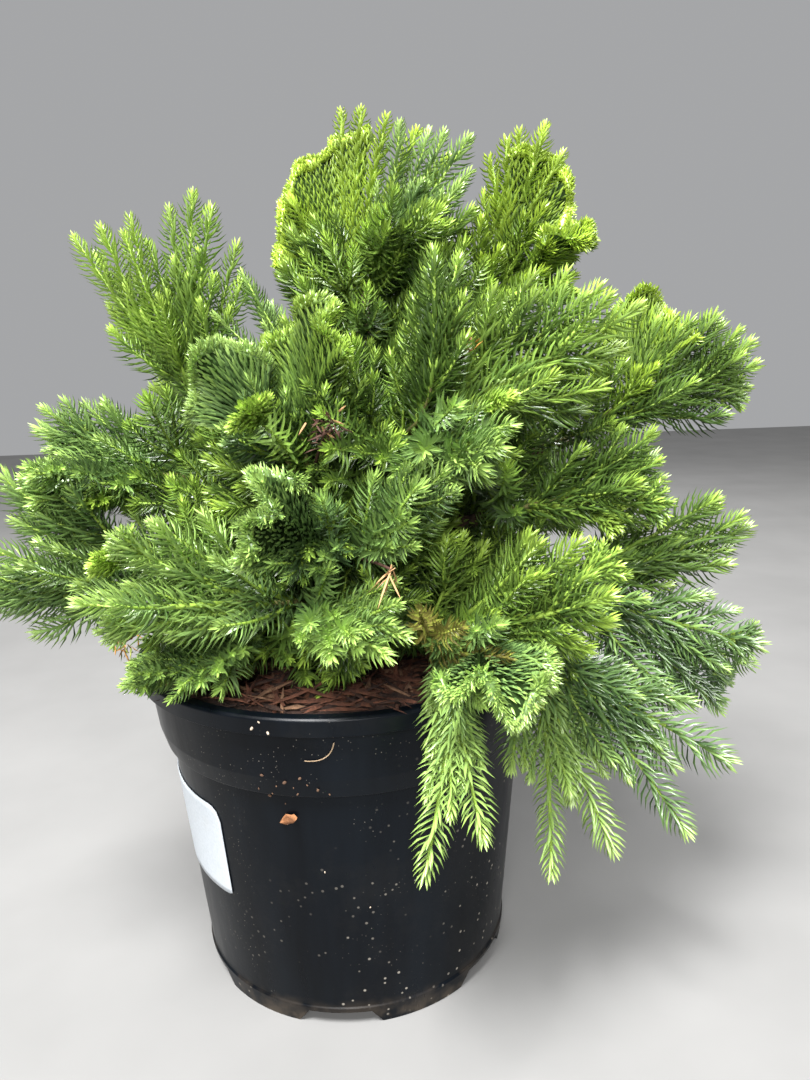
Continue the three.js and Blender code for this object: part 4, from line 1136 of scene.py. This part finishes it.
def add_sheet(store, grid, face, thickness, shade):
    """A closed sheet on a grid of points, that thickens along its columns."""
    columns, rows, _ = grid.shape
    swell = thickness * (0.45 + 0.55 * np.linspace(0, 1, rows))[None, :, None]
    corners = np.concatenate([(grid + face * swell).reshape(-1, 3), (grid - face * swell).reshape(-1, 3)])
    behind = columns * rows
    number = np.arange(behind).reshape(columns, rows)
    low, right, up, far = number[:-1, :-1], number[1:, :-1], number[:-1, 1:], number[1:, 1:]
    front = np.stack([low, right, far, up], -1).reshape(-1, 4)
    back = np.stack([low, up, far, right], -1).reshape(-1, 4) + behind
    border = np.concatenate([number[:, 0], number[-1, 1:], number[-2::-1, -1], number[0, -2:0:-1]])
    after = np.roll(border, -1)
    quads = np.concatenate([front, back, np.stack([border, border + behind, after + behind, after], -1)])
    store.add(corners, np.concatenate([quads[:, [0, 1, 2]], quads[:, [0, 2, 3]]]), shade)


def add_rim(store, sheet):
    """A lumpy bead along a crest's edge, covered in short needles that stand out every way."""
    rng = sheet.rng
    look = sheet.look
    pale, palest = look.rim_shades
    edge = sheet.points(RIM_SHARES)
    coarse = np.arange(sheet.columns)
    fine = np.linspace(0, sheet.columns - 1, 2 * sheet.columns - 1)
    count = len(fine)
    inner, outer = (
        np.stack([np.interp(fine, coarse, edge[:, row, axis]) for axis in range(3)], -1) for row in range(2)
    )
    onward = unit(outer - inner)
    run = unit(np.gradient(outer, axis=0))
    across = unit(np.cross(run, onward))
    lumps = 1 + 0.34 * np.sin(fine * 0.95 + sheet.phase[0]) + 0.18 * np.sin(fine * 2.1 + sheet.phase[1])
    radius = look.bead * lumps
    turn = ring_turns(RIM_SIDES)[None, :, None]
    ring = across[:, None] * np.cos(turn) + onward[:, None] * np.sin(turn)
    bead = outer[:, None] + ring * radius[:, None, None]
    corners = np.concatenate([bead.reshape(-1, 3), outer[[0, -1]]])
    store.add(corners, closed_tube_triangles(count, RIM_SIDES), pale)
    for _ in range(look.rim_rounds):
        turn = rng.uniform(-1.2, math.pi + 1.2, (count, 1))
        outwards = across * np.cos(turn) + onward * np.sin(turn)
        tangents = unit(onward + run * rng.normal(0, 0.35, (count, 1)))
        roots = outer + run * rng.uniform(-0.8, 0.8, (count, 1)) + outwards * radius[:, None]
        outwards = unit(square_part(outwards, tangents) + 1e-6)
        lengths = rng.uniform(*RIM_NEEDLE_LENGTHS, count) * look.rim_needle
        widths = np.full(count, RIM_NEEDLE_WIDTH)
        shades = np.where(rng.random(count) < 0.6, pale, palest)
        openings = rng.uniform(*RIM_OPENINGS, count)
        tip_shades = np.full(count, palest)
        add_needles(
            store, roots, tangents, outwards, lengths, widths, openings, shades, tip_shades, RIM_CLOSING
        )


def add_crest_face(store, sheet, hand):
    """Rows of needles on one face of a crest, where every other column is painted a step darker, as the
    shade of a furrow.
    """
    rng = sheet.rng
    look = sheet.look
    face = sheet.plan.face
    rows = max(int(sheet.length * 0.95 / look.row_step), 5)
    shares = np.linspace(0.02, 0.975, rows)
    onward = unit(sheet.points(shares + 0.02) - sheet.points(shares - 0.02))
    column = np.arange(sheet.columns)
    shifted = sheet.points(shares) + onward * (column % 2 * look.row_step * 0.5)[:, None, None]
    count = sheet.columns * rows
    roots = shifted.reshape(-1, 3) + rng.normal(0, 0.2, (count, 3)) + face * hand * CREST_SHEET * 0.5
    tangents = onward.reshape(-1, 3)
    lean = (np.arange(count) % 2 * 2 - 1) * look.lean + rng.normal(0, 0.12, count)
    outwards = unit(face * hand + sheet.plan.side * lean[:, None])
    outwards = unit(square_part(outwards, tangents))
    share = np.tile(shares, sheet.columns)
    to_tip = (1 - share) * sheet.length
    lengths = look.needle * np.clip(0.45 + to_tip / 26, 0.45, 1) * rng.uniform(0.93, 1.07, count)
    opened = np.clip(to_tip / 9, 0, 1)
    openings = between((CREST_TIP_OPENING, look.opening), opened) + rng.normal(0, 3, count)
    room = smooth(share, -0.2, 0.25) > rng.random(count)
    old = CREST_OLD_DROP * (1 - smooth(share, 0.2, 0.8))
    young = YOUNG_RISE * np.clip(1 - to_tip / look.young_length, 0, 1) ** 1.2
    # Painted shade: every other column is darkened as if it lay in a furrow, though all columns sit at the
    # same depth
    furrow_shade = np.repeat(column % 2, rows) * CREST_FURROW_SHADE
    level = np.round(MID - old + young - furrow_shade + rng.normal(0, 0.35, count)).astype(int)
    shades = np.clip(level, DEEP, BRIGHT)
    widths = CREST_NEEDLE_WIDTH * rng.uniform(0.92, 1.08, count)
    # Each needle's two end faces are one shade lighter than the rest. This is partly paler needle tips and
    # partly painted highlight on the ends, against the darker face
    values = (roots, tangents, outwards, lengths, widths, openings, shades, np.clip(shades + 1, DEEP, TIP))
    add_needles(store, *(value[room] for value in values))


def add_crest(plan, needles, twigs):
    """A closed sheet with rows of needles on both faces, a dense rim, fingers and a few loose shoots."""
    needles.palette = palette_of(plan.mass)
    sheet = CrestSheet(plan)
    growth = Growth(needles, twigs, sheet.rng)
    face = plan.face
    tone = min(plan.mass.tone, FRESH)
    add_stem(growth, plan)
    # The sheet under the needles takes the near-black web colour, which is painted shade in the gaps
    # between them
    add_sheet(needles, sheet.points(np.linspace(0.0, 0.985, CREST_SHEET_ROWS)), face, CREST_SHEET, SHADED_WEB)
    for hand in (1, -1):
        add_crest_face(needles, sheet, hand)
    add_rim(needles, sheet)
    for spread in sheet.shape.fingers:
        add_shoot(growth, plan.leader(spread), tone, *FINGER_SHOOT)

    # A few shoots that leave the face and pass the rim
    for index, spread in enumerate(plan.spreads):
        if sheet.shape.first < spread < sheet.shape.last and scatter(plan.seed, index + 7) < LOOSE_SHARE:
            rib = plan.leader(spread)
            loose = Curve(*(rib.point(share) + face * off for share, off in LOOSE_PATH))
            add_shoot(growth, loose, tone, *LOOSE_SHOOT)


# Sprays that grow straight out of the trunk and the boughs

INNER_HABIT = Habit(0.40, 36, 0.62, 0.72, 11.0)
INNER_LENGTHS = (34, 58)
INNER_ROOM = 5
INNER_DARK_SHARE = 0.7
TRUNK_SPRAYS = 40
BOUGH_SPRAYS = 18


def add_limb_sprays(number, name, needles, twigs):
    """Needles along a bough and sprays all round a limb, which close the crown's inside."""
    limb = limbs[name]
    rng = np.random.default_rng(number + 900)
    growth = Growth(needles, twigs, rng)
    first, count = (0.40, TRUNK_SPRAYS) if name == "trunk" else (0.20, BOUGH_SPRAYS)
    if name != "trunk":
        add_shoot(growth, limb.curve, MID, *BOUGH_SHOOT)
    for step, place in enumerate(np.linspace(first, 1.0, count)):
        onward, normal, across = limb.curve.frames(place)
        turn = step * GOLDEN_TURN + rng.uniform(-0.3, 0.3) + number
        outward = normal * math.cos(turn) + across * math.sin(turn)
        direction = unit(onward * 0.5 + outward * 0.9 + UP * 0.12)
        length = rng.uniform(*INNER_LENGTHS)
        root = limb.curve.point(place)
        tip = root + unit(direction + UP * 0.18) * length
        if not is_clear(tip, INNER_ROOM):
            continue
        shoot = Curve(root, root + direction * length * 0.5, tip)
        tone = DARK if rng.random() < INNER_DARK_SHARE else MID
        add_shoot(growth, shoot, tone, INNER_HABIT.spacing, INNER_HABIT.needle, SHOOT_RADIUS, 0.06)
        add_side_shoots(growth, shoot, unit(np.cross(onward, direction)), INNER_HABIT, tone)


def build_foliage():
    """All needles, each kind apart, in pieces that end with a whole mass, and all twigs in one piece."""
    plans = [Plan(number, mass) for number, mass in enumerate(MASSES)]
    twigs = Store()
    sprays = [(plan.mass.name, partial(add_spray, plan)) for plan in plans if plan.mass.kind != "crest"]
    crests = [(plan.mass.name, partial(add_crest, plan)) for plan in plans if plan.mass.kind == "crest"]
    inner = [(None, partial(add_limb_sprays, number, name)) for number, name in enumerate(limbs)]
    groups = [
        ("needles", "needle_foliage", sprays),
        ("crests", "crest_foliage", crests),
        ("inner_needles", "needle_foliage", inner),
    ]
    for kind, slot, growers in groups:
        store = Store()
        nodes = []
        part = 1
        for node, grow in growers:
            before = store.triangle_count
            grow(store, twigs)
            grown = store.triangle_count - before
            nodes += [node] if node else []
            if store.triangle_count + grown > TRIANGLES_PER_PIECE or grow is growers[-1][1]:
                finish_piece(store.piece(f"{kind}_{part}", needle_shades), slot, *nodes)
                store = Store()
                nodes = []
                part += 1
    finish_piece(twigs.piece("green_twigs", stem_shades), "needle_foliage")


# Small crested tufts on twigs of their own: where they are, which way their row runs and how green they are

Tuft = namedtuple("Tuft", "place row tone")
TUFTS = [
    Tuft((-84, -70, 209), (1, 0.2, 0.5), LIGHT),
    Tuft((-95, -42, 227), (1, 0, 0.2), FRESH),
    Tuft((100, -14, 303), (1, 0.3, 0.1), MID),
    Tuft((-24, -92, 262), (0.8, 0, 0.6), FRESH),
    Tuft((62, -74, 262), (1, 0, 0.3), FRESH),
    Tuft((112, -52, 214), (0.7, 0.2, 0.7), FRESH),
]


def build_tufts():
    growth = Growth(Store(), Store(), np.random.default_rng(53))
    for tuft in TUFTS:
        place = np.array(tuft.place, float)
        root = nearest_limb_point(place)
        leader = Curve(root, (root + place) / 2 + UP * 4, place)
        add_shoot(growth, leader, MID, *TUFT_SHOOT)
        for _ in range(2):
            add_crested_tip(growth, leader, np.array(tuft.row, float), tuft.tone)
    finish_piece(growth.needles.piece("tufts", needle_shades), "crest_foliage")
    finish_piece(growth.twigs.piece("tuft_twigs", stem_shades), "needle_foliage")


# Dead bits: a twig from the nearest limb that ends in a few dry needles

DeadBit = namedtuple("DeadBit", "place count spread length droop shades")
DEAD_BITS = [
    DeadBit((0.4, -77, 254), 60, 7.0, 6.0, 0.6, [DEAD_BROWN] * 5 + [DEAD_TAN]),
    DeadBit((21.5, -101, 208), 9, 2.6, 12.5, 1.6, [DEAD_TAN]),
    DeadBit((-83, -64, 174), 34, 6.0, 6.0, 0.2, [DEAD_ORANGE, DEAD_ORANGE, DEAD_TAN, OLIVE]),
    DeadBit((54.5, -62, 282), 12, 3.0, 6.0, 0.4, [DEAD_TAN, DEAD_ORANGE]),
]
DEAD_NEEDLE_WIDTH = 0.75
# Shoots that have turned bronze, from their feet to their tips
BRONZE_SHOOTS = [
    ((30, -84, 178), (44, -112, 190)),
    ((34, -86, 174), (60, -110, 178)),
    ((34, -86, 180), (30, -110, 196)),
]
BRONZE_SHADES = [BRONZE, BRONZE, OLIVE]


def build_dead_bits():
    rng = np.random.default_rng(71)
    dead = Store()
    for bit in DEAD_BITS:
        place = np.array(bit.place, float)
        root = nearest_limb_point(place)
        twig = Curve(root, (root + place) / 2 + UP * 2, place)
        add_rod(dead, twig, lambda share: 0.9 - 0.4 * share, 5, 8, DEAD_BROWN)
        heading = unit(rng.normal(0, 1, (bit.count, 3)) - UP * bit.droop)
        outwards = unit(np.cross(heading, rng.normal(0, 1, (bit.count, 3))))
        roots = place + rng.normal(0, bit.spread * 0.4, (bit.count, 3))
        lengths = bit.length * rng.uniform(0.7, 1.15, bit.count)
        shades = rng.choice(bit.shades, bit.count)
        widths = np.full(bit.count, DEAD_NEEDLE_WIDTH)
        openings = rng.uniform(5, 30, bit.count)
        add_needles(dead, roots, heading, outwards, lengths, widths, openings, shades, shades)
    for foot, tip in BRONZE_SHOOTS:
        middle = (np.array(foot, float) + tip) / 2 - UP * 2
        shoot = Store()
        add_shoot(Growth(shoot, shoot, rng), Curve(foot, middle, tip), MID, *BRONZE_SHOOT)
        shades = rng.choice(BRONZE_SHADES, shoot.triangle_count)
        dead.add(np.concatenate(shoot.corners), np.concatenate(shoot.triangles), shades)
    finish_piece(dead.piece("dead_bits", dead_shades), "needle_foliage")


# The pot


def rounded(outline, radius=0.5):
    """The outline with each corner cut in three."""
    points = [np.array(point, float) for point in outline]
    result = [points[0]]
    for before, point, after in zip(points, points[1:], points[2:]):
        for share, other in ((1, before), (0.35, before), (0.35, after), (1, after)):
            gap = np.linalg.norm(other - point)
            result.append(point + (other - point) / gap * min(radius * share, gap * 0.4))
    return result + [points[-1]]


def cut(piece, cutters):
    for cutter in cutters:
        modifier = piece.modifiers.new("cut", "BOOLEAN")
        modifier.object = cutter
        modifier.operation = "DIFFERENCE"
        modifier.solver = "EXACT"
    evaluated = piece.evaluated_get(bpy.context.evaluated_depsgraph_get())
    mesh = bpy.data.meshes.new_from_object(evaluated)
    piece.modifiers.clear()
    piece.data = mesh
    for cutter in cutters:
        bpy.data.objects.remove(cutter)


def channel_cutter(azimuth):
    low = CHANNEL_LOW_WIDTH / 2
    top = CHANNEL_TOP_WIDTH / 2
    section = [(-low, -CUT_OVERLAP), (low, -CUT_OVERLAP), (top, CHANNEL_HEIGHT), (-top, CHANNEL_HEIGHT)]
    corners = [
        (bearing(azimuth) * distance + left_of(azimuth) * across + UP * height) * MM
        for distance in (CHANNEL_INNER_RADIUS, RIM_RADIUS)
        for across, height in section
    ]
    faces = [(3, 2, 1, 0), (4, 5, 6, 7), (1, 5, 4, 0), (2, 6, 5, 1), (3, 7, 6, 2), (0, 4, 7, 3)]
    mesh = bpy.data.meshes.new("channel")
    mesh.from_pydata([tuple(corner) for corner in corners], [], faces)
    return new_object("channel", mesh)


def drain_cutter(azimuth):
    centre = bearing(azimuth) * DRAIN_CIRCLE_RADIUS
    store = Store()
    line = Curve(*(centre + UP * height for height in DRAIN_CUT_HEIGHTS))
    add_rod(store, line, lambda share: DRAIN_RADIUS + 0 * share, 24, 2, 0)
    return store.piece("drain", [])


def build_pot():
    outline = [
        (0.01, 0),
        (FOOT_UNDER_RADIUS, 0),
        (FOOT_RADIUS, FOOT_HEIGHT),
        (FOOT_RADIUS - FOOT_LEDGE, FOOT_HEIGHT + FOOT_LEDGE),
        (NECK_RADIUS, COLLAR_LOW_HEIGHT - FOOT_LEDGE),
        (COLLAR_LOW_RADIUS, COLLAR_LOW_HEIGHT),
        (COLLAR_BEND_RADIUS, COLLAR_BEND_HEIGHT),
        (COLLAR_TOP_RADIUS, LIP_LOW_HEIGHT),
        (LIP_LOW_RADIUS, LIP_LOW_HEIGHT),
        (RIM_RADIUS, POT_HEIGHT - RIM_EDGE),
        (RIM_RADIUS - RIM_EDGE, POT_HEIGHT),
        (RIM_RADIUS - RIM_WIDTH, POT_HEIGHT),
        (COLLAR_TOP_RADIUS - WALL, LIP_LOW_HEIGHT),
        (COLLAR_BEND_RADIUS - WALL, COLLAR_BEND_HEIGHT),
        (NECK_RADIUS - WALL, COLLAR_LOW_HEIGHT),
        (FOOT_RADIUS - FOOT_LEDGE - WALL, FLOOR_TOP),
        (0.01, FLOOR_TOP),
    ]
    outline = np.array(rounded(outline))
    rows = len(outline)
    corners = around(outline[:, :1], ring_turns(POT_FACETS), outline[:, 1:])
    store = Store()
    store.add(corners.reshape(-1, 3), tube_triangles(rows + 1, POT_FACETS) % (rows * POT_FACETS), 0)
    pot = store.piece("pot_shell", [pot_material()])
    azimuths = [CHANNEL_FIRST_AZIMUTH + 360 / CHANNELS * i for i in range(CHANNELS)]
    cut(pot, [channel_cutter(azimuth) for azimuth in azimuths])
    cut(pot, [drain_cutter(azimuth) for azimuth in azimuths])
    pot.data.polygons.foreach_set("use_smooth", np.ones(len(pot.data.polygons), bool))
    pot.data.set_sharp_from_angle(angle=math.radians(POT_SHARP_ANGLE))
    finish_piece(pot, "pot_plastic", "pot")


# What the pot holds


def build_growing_medium():
    """A heaped top and the body under it, with loose shreds of bark on the top."""
    rng = np.random.default_rng(41)
    turn = ring_turns(SOIL_SIDES)
    top = around(np.linspace(0.5, SOIL_RADIUS, SOIL_RINGS)[:, None], turn, 0)
    top[..., 2] = soil_height(top[..., 0], top[..., 1]) + rng.normal(0, SOIL_GRAIN, top.shape[:2])
    wall = np.array(
        [
            (SOIL_RADIUS - 1.2, SOIL_LEVEL - SOIL_SHOULDER_DEPTH),
            (NECK_RADIUS - WALL - 1, COLLAR_LOW_HEIGHT),
            (FOOT_RADIUS - FOOT_LEDGE - WALL - 1, FLOOR_TOP + SEAT_GAP),
            (0.5, FLOOR_TOP + SEAT_GAP),
        ]
    )
    corners = np.concatenate([top, around(wall[:, :1], turn, wall[:, 1:])])
    store = Store()
    store.add(corners.reshape(-1, 3), tube_triangles(len(corners), SOIL_SIDES)[:, ::-1], 0)
    shades = [
        soil_material("bark_compost", (0.012, 0.006, 0.004), (0.060, 0.026, 0.015)),
        soil_material("bark_shreds_red", (0.060, 0.021, 0.011), (0.150, 0.055, 0.028)),
        soil_material("bark_shreds_tan", (0.13, 0.065, 0.035), (0.27, 0.150, 0.085)),
    ]
    finish_piece(store.piece("compost", shades[:1]), "bark_compost", "growing_medium")

    shreds = Store()
    reach = (SOIL_RADIUS - 6) * np.sqrt(rng.random(SHREDS))
    roots = around(reach, rng.uniform(0, 2 * math.pi, SHREDS), 0)
    roots[:, 2] = soil_height(roots[:, 0], roots[:, 1]) + rng.uniform(0.2, 2.6, SHREDS)
    heading = rng.uniform(0, 2 * math.pi, SHREDS)
    tangents = unit(around(1, heading, rng.normal(0, 0.16, SHREDS)))
    ups = unit(square_part(UP, tangents))
    shade = rng.choice([0, 0, 1, 1, 1, 2], SHREDS)
    lengths = rng.uniform(6, 24, SHREDS)
    widths = rng.uniform(0.7, 2.6, SHREDS)
    openings = rng.uniform(-3, 9, SHREDS)
    add_needles(shreds, roots, tangents, ups, lengths, widths, openings, shade, shade, SHRED_CLOSING)
    finish_piece(shreds.piece("bark_shreds", shades), "bark_compost")


def build_label():
    azimuth = np.radians(np.linspace(LABEL_FROM_AZIMUTH, LABEL_TO_AZIMUTH, LABEL_COLUMNS))
    wall = float(pot_wall(LABEL_LOW + LABEL_HEIGHT / 2))
    in_corner = np.clip(1 - (azimuth[-1] - azimuth) * wall / LABEL_CORNER, 0, 1)
    top_cut = LABEL_CORNER * (1 - np.sqrt(1 - in_corner**2))
    low = LABEL_LOW + LABEL_LOW_CORNER * top_cut
    high = LABEL_LOW + LABEL_HEIGHT - top_cut
    height = low[:, None] + (high - low)[:, None] * np.linspace(0, 1, LABEL_ROWS)[None]
    grid = around(pot_wall(height) + SEAT_GAP + LABEL_THICKNESS / 2, azimuth[:, None], height)
    store = Store()
    add_sheet(store, grid, unit(grid * LEVEL), LABEL_THICKNESS / 2, 0)
    finish_piece(store.piece("label_sheet", [label_material()]), "label_paper", "label")


# Crumbs, a dry leaf and a fibre that stick to the pot, as azimuth, height and, for crumbs, size

CRUMBS = [
    (-110.6, 124.1, 0.8), (-104.6, 121.9, 1.1), (-100.5, 124.2, 0.8), (-96.3, 118.6, 1.0),
    (-110.8, 112.5, 0.9), (-107.2, 119.5, 0.5), (-101.8, 116.2, 0.6), (-98.9, 121.0, 0.5),
    (-112.5, 117.0, 0.5), (-93.5, 116.4, 0.5), (-108.8, 115.4, 0.4), (-104.0, 113.2, 0.4),
    (-99.5, 114.1, 0.4), (-106.4, 109.5, 0.4), (-102.6, 119.3, 0.4),
]
PALE_CRUMBS = [
    (-109.9, 146.8, 0.9), (-106.1, 145.4, 0.8), (-108.0, 149.7, 0.6), (-96.8, 78.3, 0.5), (-84, 60, 0.5),
]
DRY_LEAF = (-105.6, 103.0)
DRY_LEAF_HALF_WIDTH = 2.6
DRY_LEAF_HALF_SPAN = 2.5
FIBRE = [(-98.8, 132.2), (-93.8, 133.6), (-91.4, 139.9)]


def wall_point(azimuth, height, off):
    return around(float(pot_wall(height)) + off, math.radians(azimuth), height)


def build_pot_dirt():
    rng = np.random.default_rng(17)
    dirt = Store()
    for shade, crumbs in enumerate((CRUMBS, PALE_CRUMBS)):
        for azimuth, height, size in crumbs:
            centre = wall_point(azimuth, height, size * 0.25)
            half = unit(rng.normal(0, 1, 3)) * size
            lump = bark_relief(int(azimuth * -10))

            def swell(share):
                return size * (0.15 + np.sqrt(np.clip(share * (1 - share), 0, 1)))

            add_rod(dirt, Curve(centre - half, centre, centre + half), swell, 7, 7, shade, lump)
    azimuth, height = DRY_LEAF
    leaf = np.zeros((7, 5, 3))
    for column, along in enumerate(np.linspace(-1, 1, 7)):
        for row, up in enumerate(np.linspace(-1, 1, 5)):
            width = DRY_LEAF_HALF_WIDTH * (1.1 - along**2) * rng.uniform(0.7, 1.2)
            curl = 0.7 + 0.6 * math.sin(along * 3 + up) + 0.8 * along**2
            place = azimuth + along * DRY_LEAF_HALF_SPAN
            leaf[column, row] = wall_point(place, height + up * width + along * 1.2, curl)
    add_sheet(dirt, leaf, unit(leaf * LEVEL), 0.15, 2)
    start, middle, end = (wall_point(azimuth, height, 0.6) for azimuth, height in FIBRE)
    fibre = Curve(start, 2 * middle - (start + end) / 2, end)
    add_rod(dirt, fibre, lambda share: 0.20 + 0.06 * share, 5, 24, 3)
    shades = [
        soil_material("crumbs", (0.060, 0.030, 0.017), (0.17, 0.095, 0.055)),
        soil_material("pale_crumbs", (0.33, 0.26, 0.19), (0.52, 0.43, 0.34)),
        soil_material("dry_leaf", (0.20, 0.075, 0.028), (0.38, 0.17, 0.07)),
        soil_material("fibre", (0.36, 0.25, 0.15), (0.52, 0.38, 0.25)),
    ]
    finish_piece(dirt.piece("pot_dirt", shades), "bark_compost")


# The camera that was fitted to the photo, a floor and soft light. Lights and the floor are in metres

CAMERA_PLACE = (15.6, -369, 277.7)
CAMERA_YAW = 2.28
CAMERA_PITCH = 12.49
CAMERA_ROLL = -1.90
CAMERA_LENS = 27.03
SENSOR_HEIGHT = 36
Panel = namedtuple("Panel", "name place size power")
PANELS = [
    Panel("sky_panel", (-0.28, -0.62, 1.5), 0.6, 68),
    Panel("front_panel", (-0.12, -1.35, 0.90), 0.6, 22),
    Panel("back_panel", (0.3, 1.1, 1.1), 1.0, 10),
]
PANEL_TARGET = (0.0, 0.0, 0.22)
SKY_COLOR = (0.90, 0.91, 0.93, 1)
SKY_STRENGTH = 0.42
FLOOR_HALF = 2.5


def build_camera():
    yaw = math.radians(CAMERA_YAW)
    pitch = math.radians(CAMERA_PITCH)
    roll = math.radians(CAMERA_ROLL)
    forward = Vector((math.sin(yaw) * math.cos(pitch), math.cos(yaw) * math.cos(pitch), -math.sin(pitch)))
    level = Vector((math.cos(yaw), -math.sin(yaw), 0))
    upright = level.cross(forward)
    right = level * math.cos(roll) + upright * math.sin(roll)
    up = upright * math.cos(roll) - level * math.sin(roll)
    data = bpy.data.cameras.new("camera")
    data.lens = CAMERA_LENS
    data.sensor_fit = "VERTICAL"
    data.sensor_height = SENSOR_HEIGHT
    data.clip_start = 0.01
    camera = new_object("camera", data)
    turn = Matrix((right, up, -forward)).transposed().to_4x4()
    camera.matrix_world = Matrix.Translation(Vector(CAMERA_PLACE) * MM) @ turn
    bpy.context.scene.camera = camera


def add_panel(panel):
    data = bpy.data.lights.new(panel.name, "AREA")
    data.shape = "DISK"
    data.size = panel.size
    data.energy = panel.power
    light = new_object(panel.name, data)
    light.location = panel.place
    aim = Vector(PANEL_TARGET) - Vector(panel.place)
    light.rotation_euler = aim.to_track_quat("-Z", "Y").to_euler()


def build_studio():
    bpy.context.scene.view_settings.view_transform = "Standard"
    world = bpy.data.worlds.new("world")
    world.use_nodes = True
    background = world.node_tree.nodes["Background"]
    background.inputs["Color"].default_value = SKY_COLOR
    background.inputs["Strength"].default_value = SKY_STRENGTH
    bpy.context.scene.world = world
    for panel in PANELS:
        add_panel(panel)
    mesh = bpy.data.meshes.new("floor")
    signs = ((-1, -1), (1, -1), (1, 1), (-1, 1))
    mesh.from_pydata([(x * FLOOR_HALF, y * FLOOR_HALF, 0) for x, y in signs], [], [(0, 1, 2, 3)])
    mesh.materials.append(floor_material())
    floor = new_object("floor", mesh)


build_camera()
build_studio()
build_limbs()
build_foliage()
build_pot()
build_growing_medium()
build_label()
build_tufts()
build_dead_bits()
build_pot_dirt()
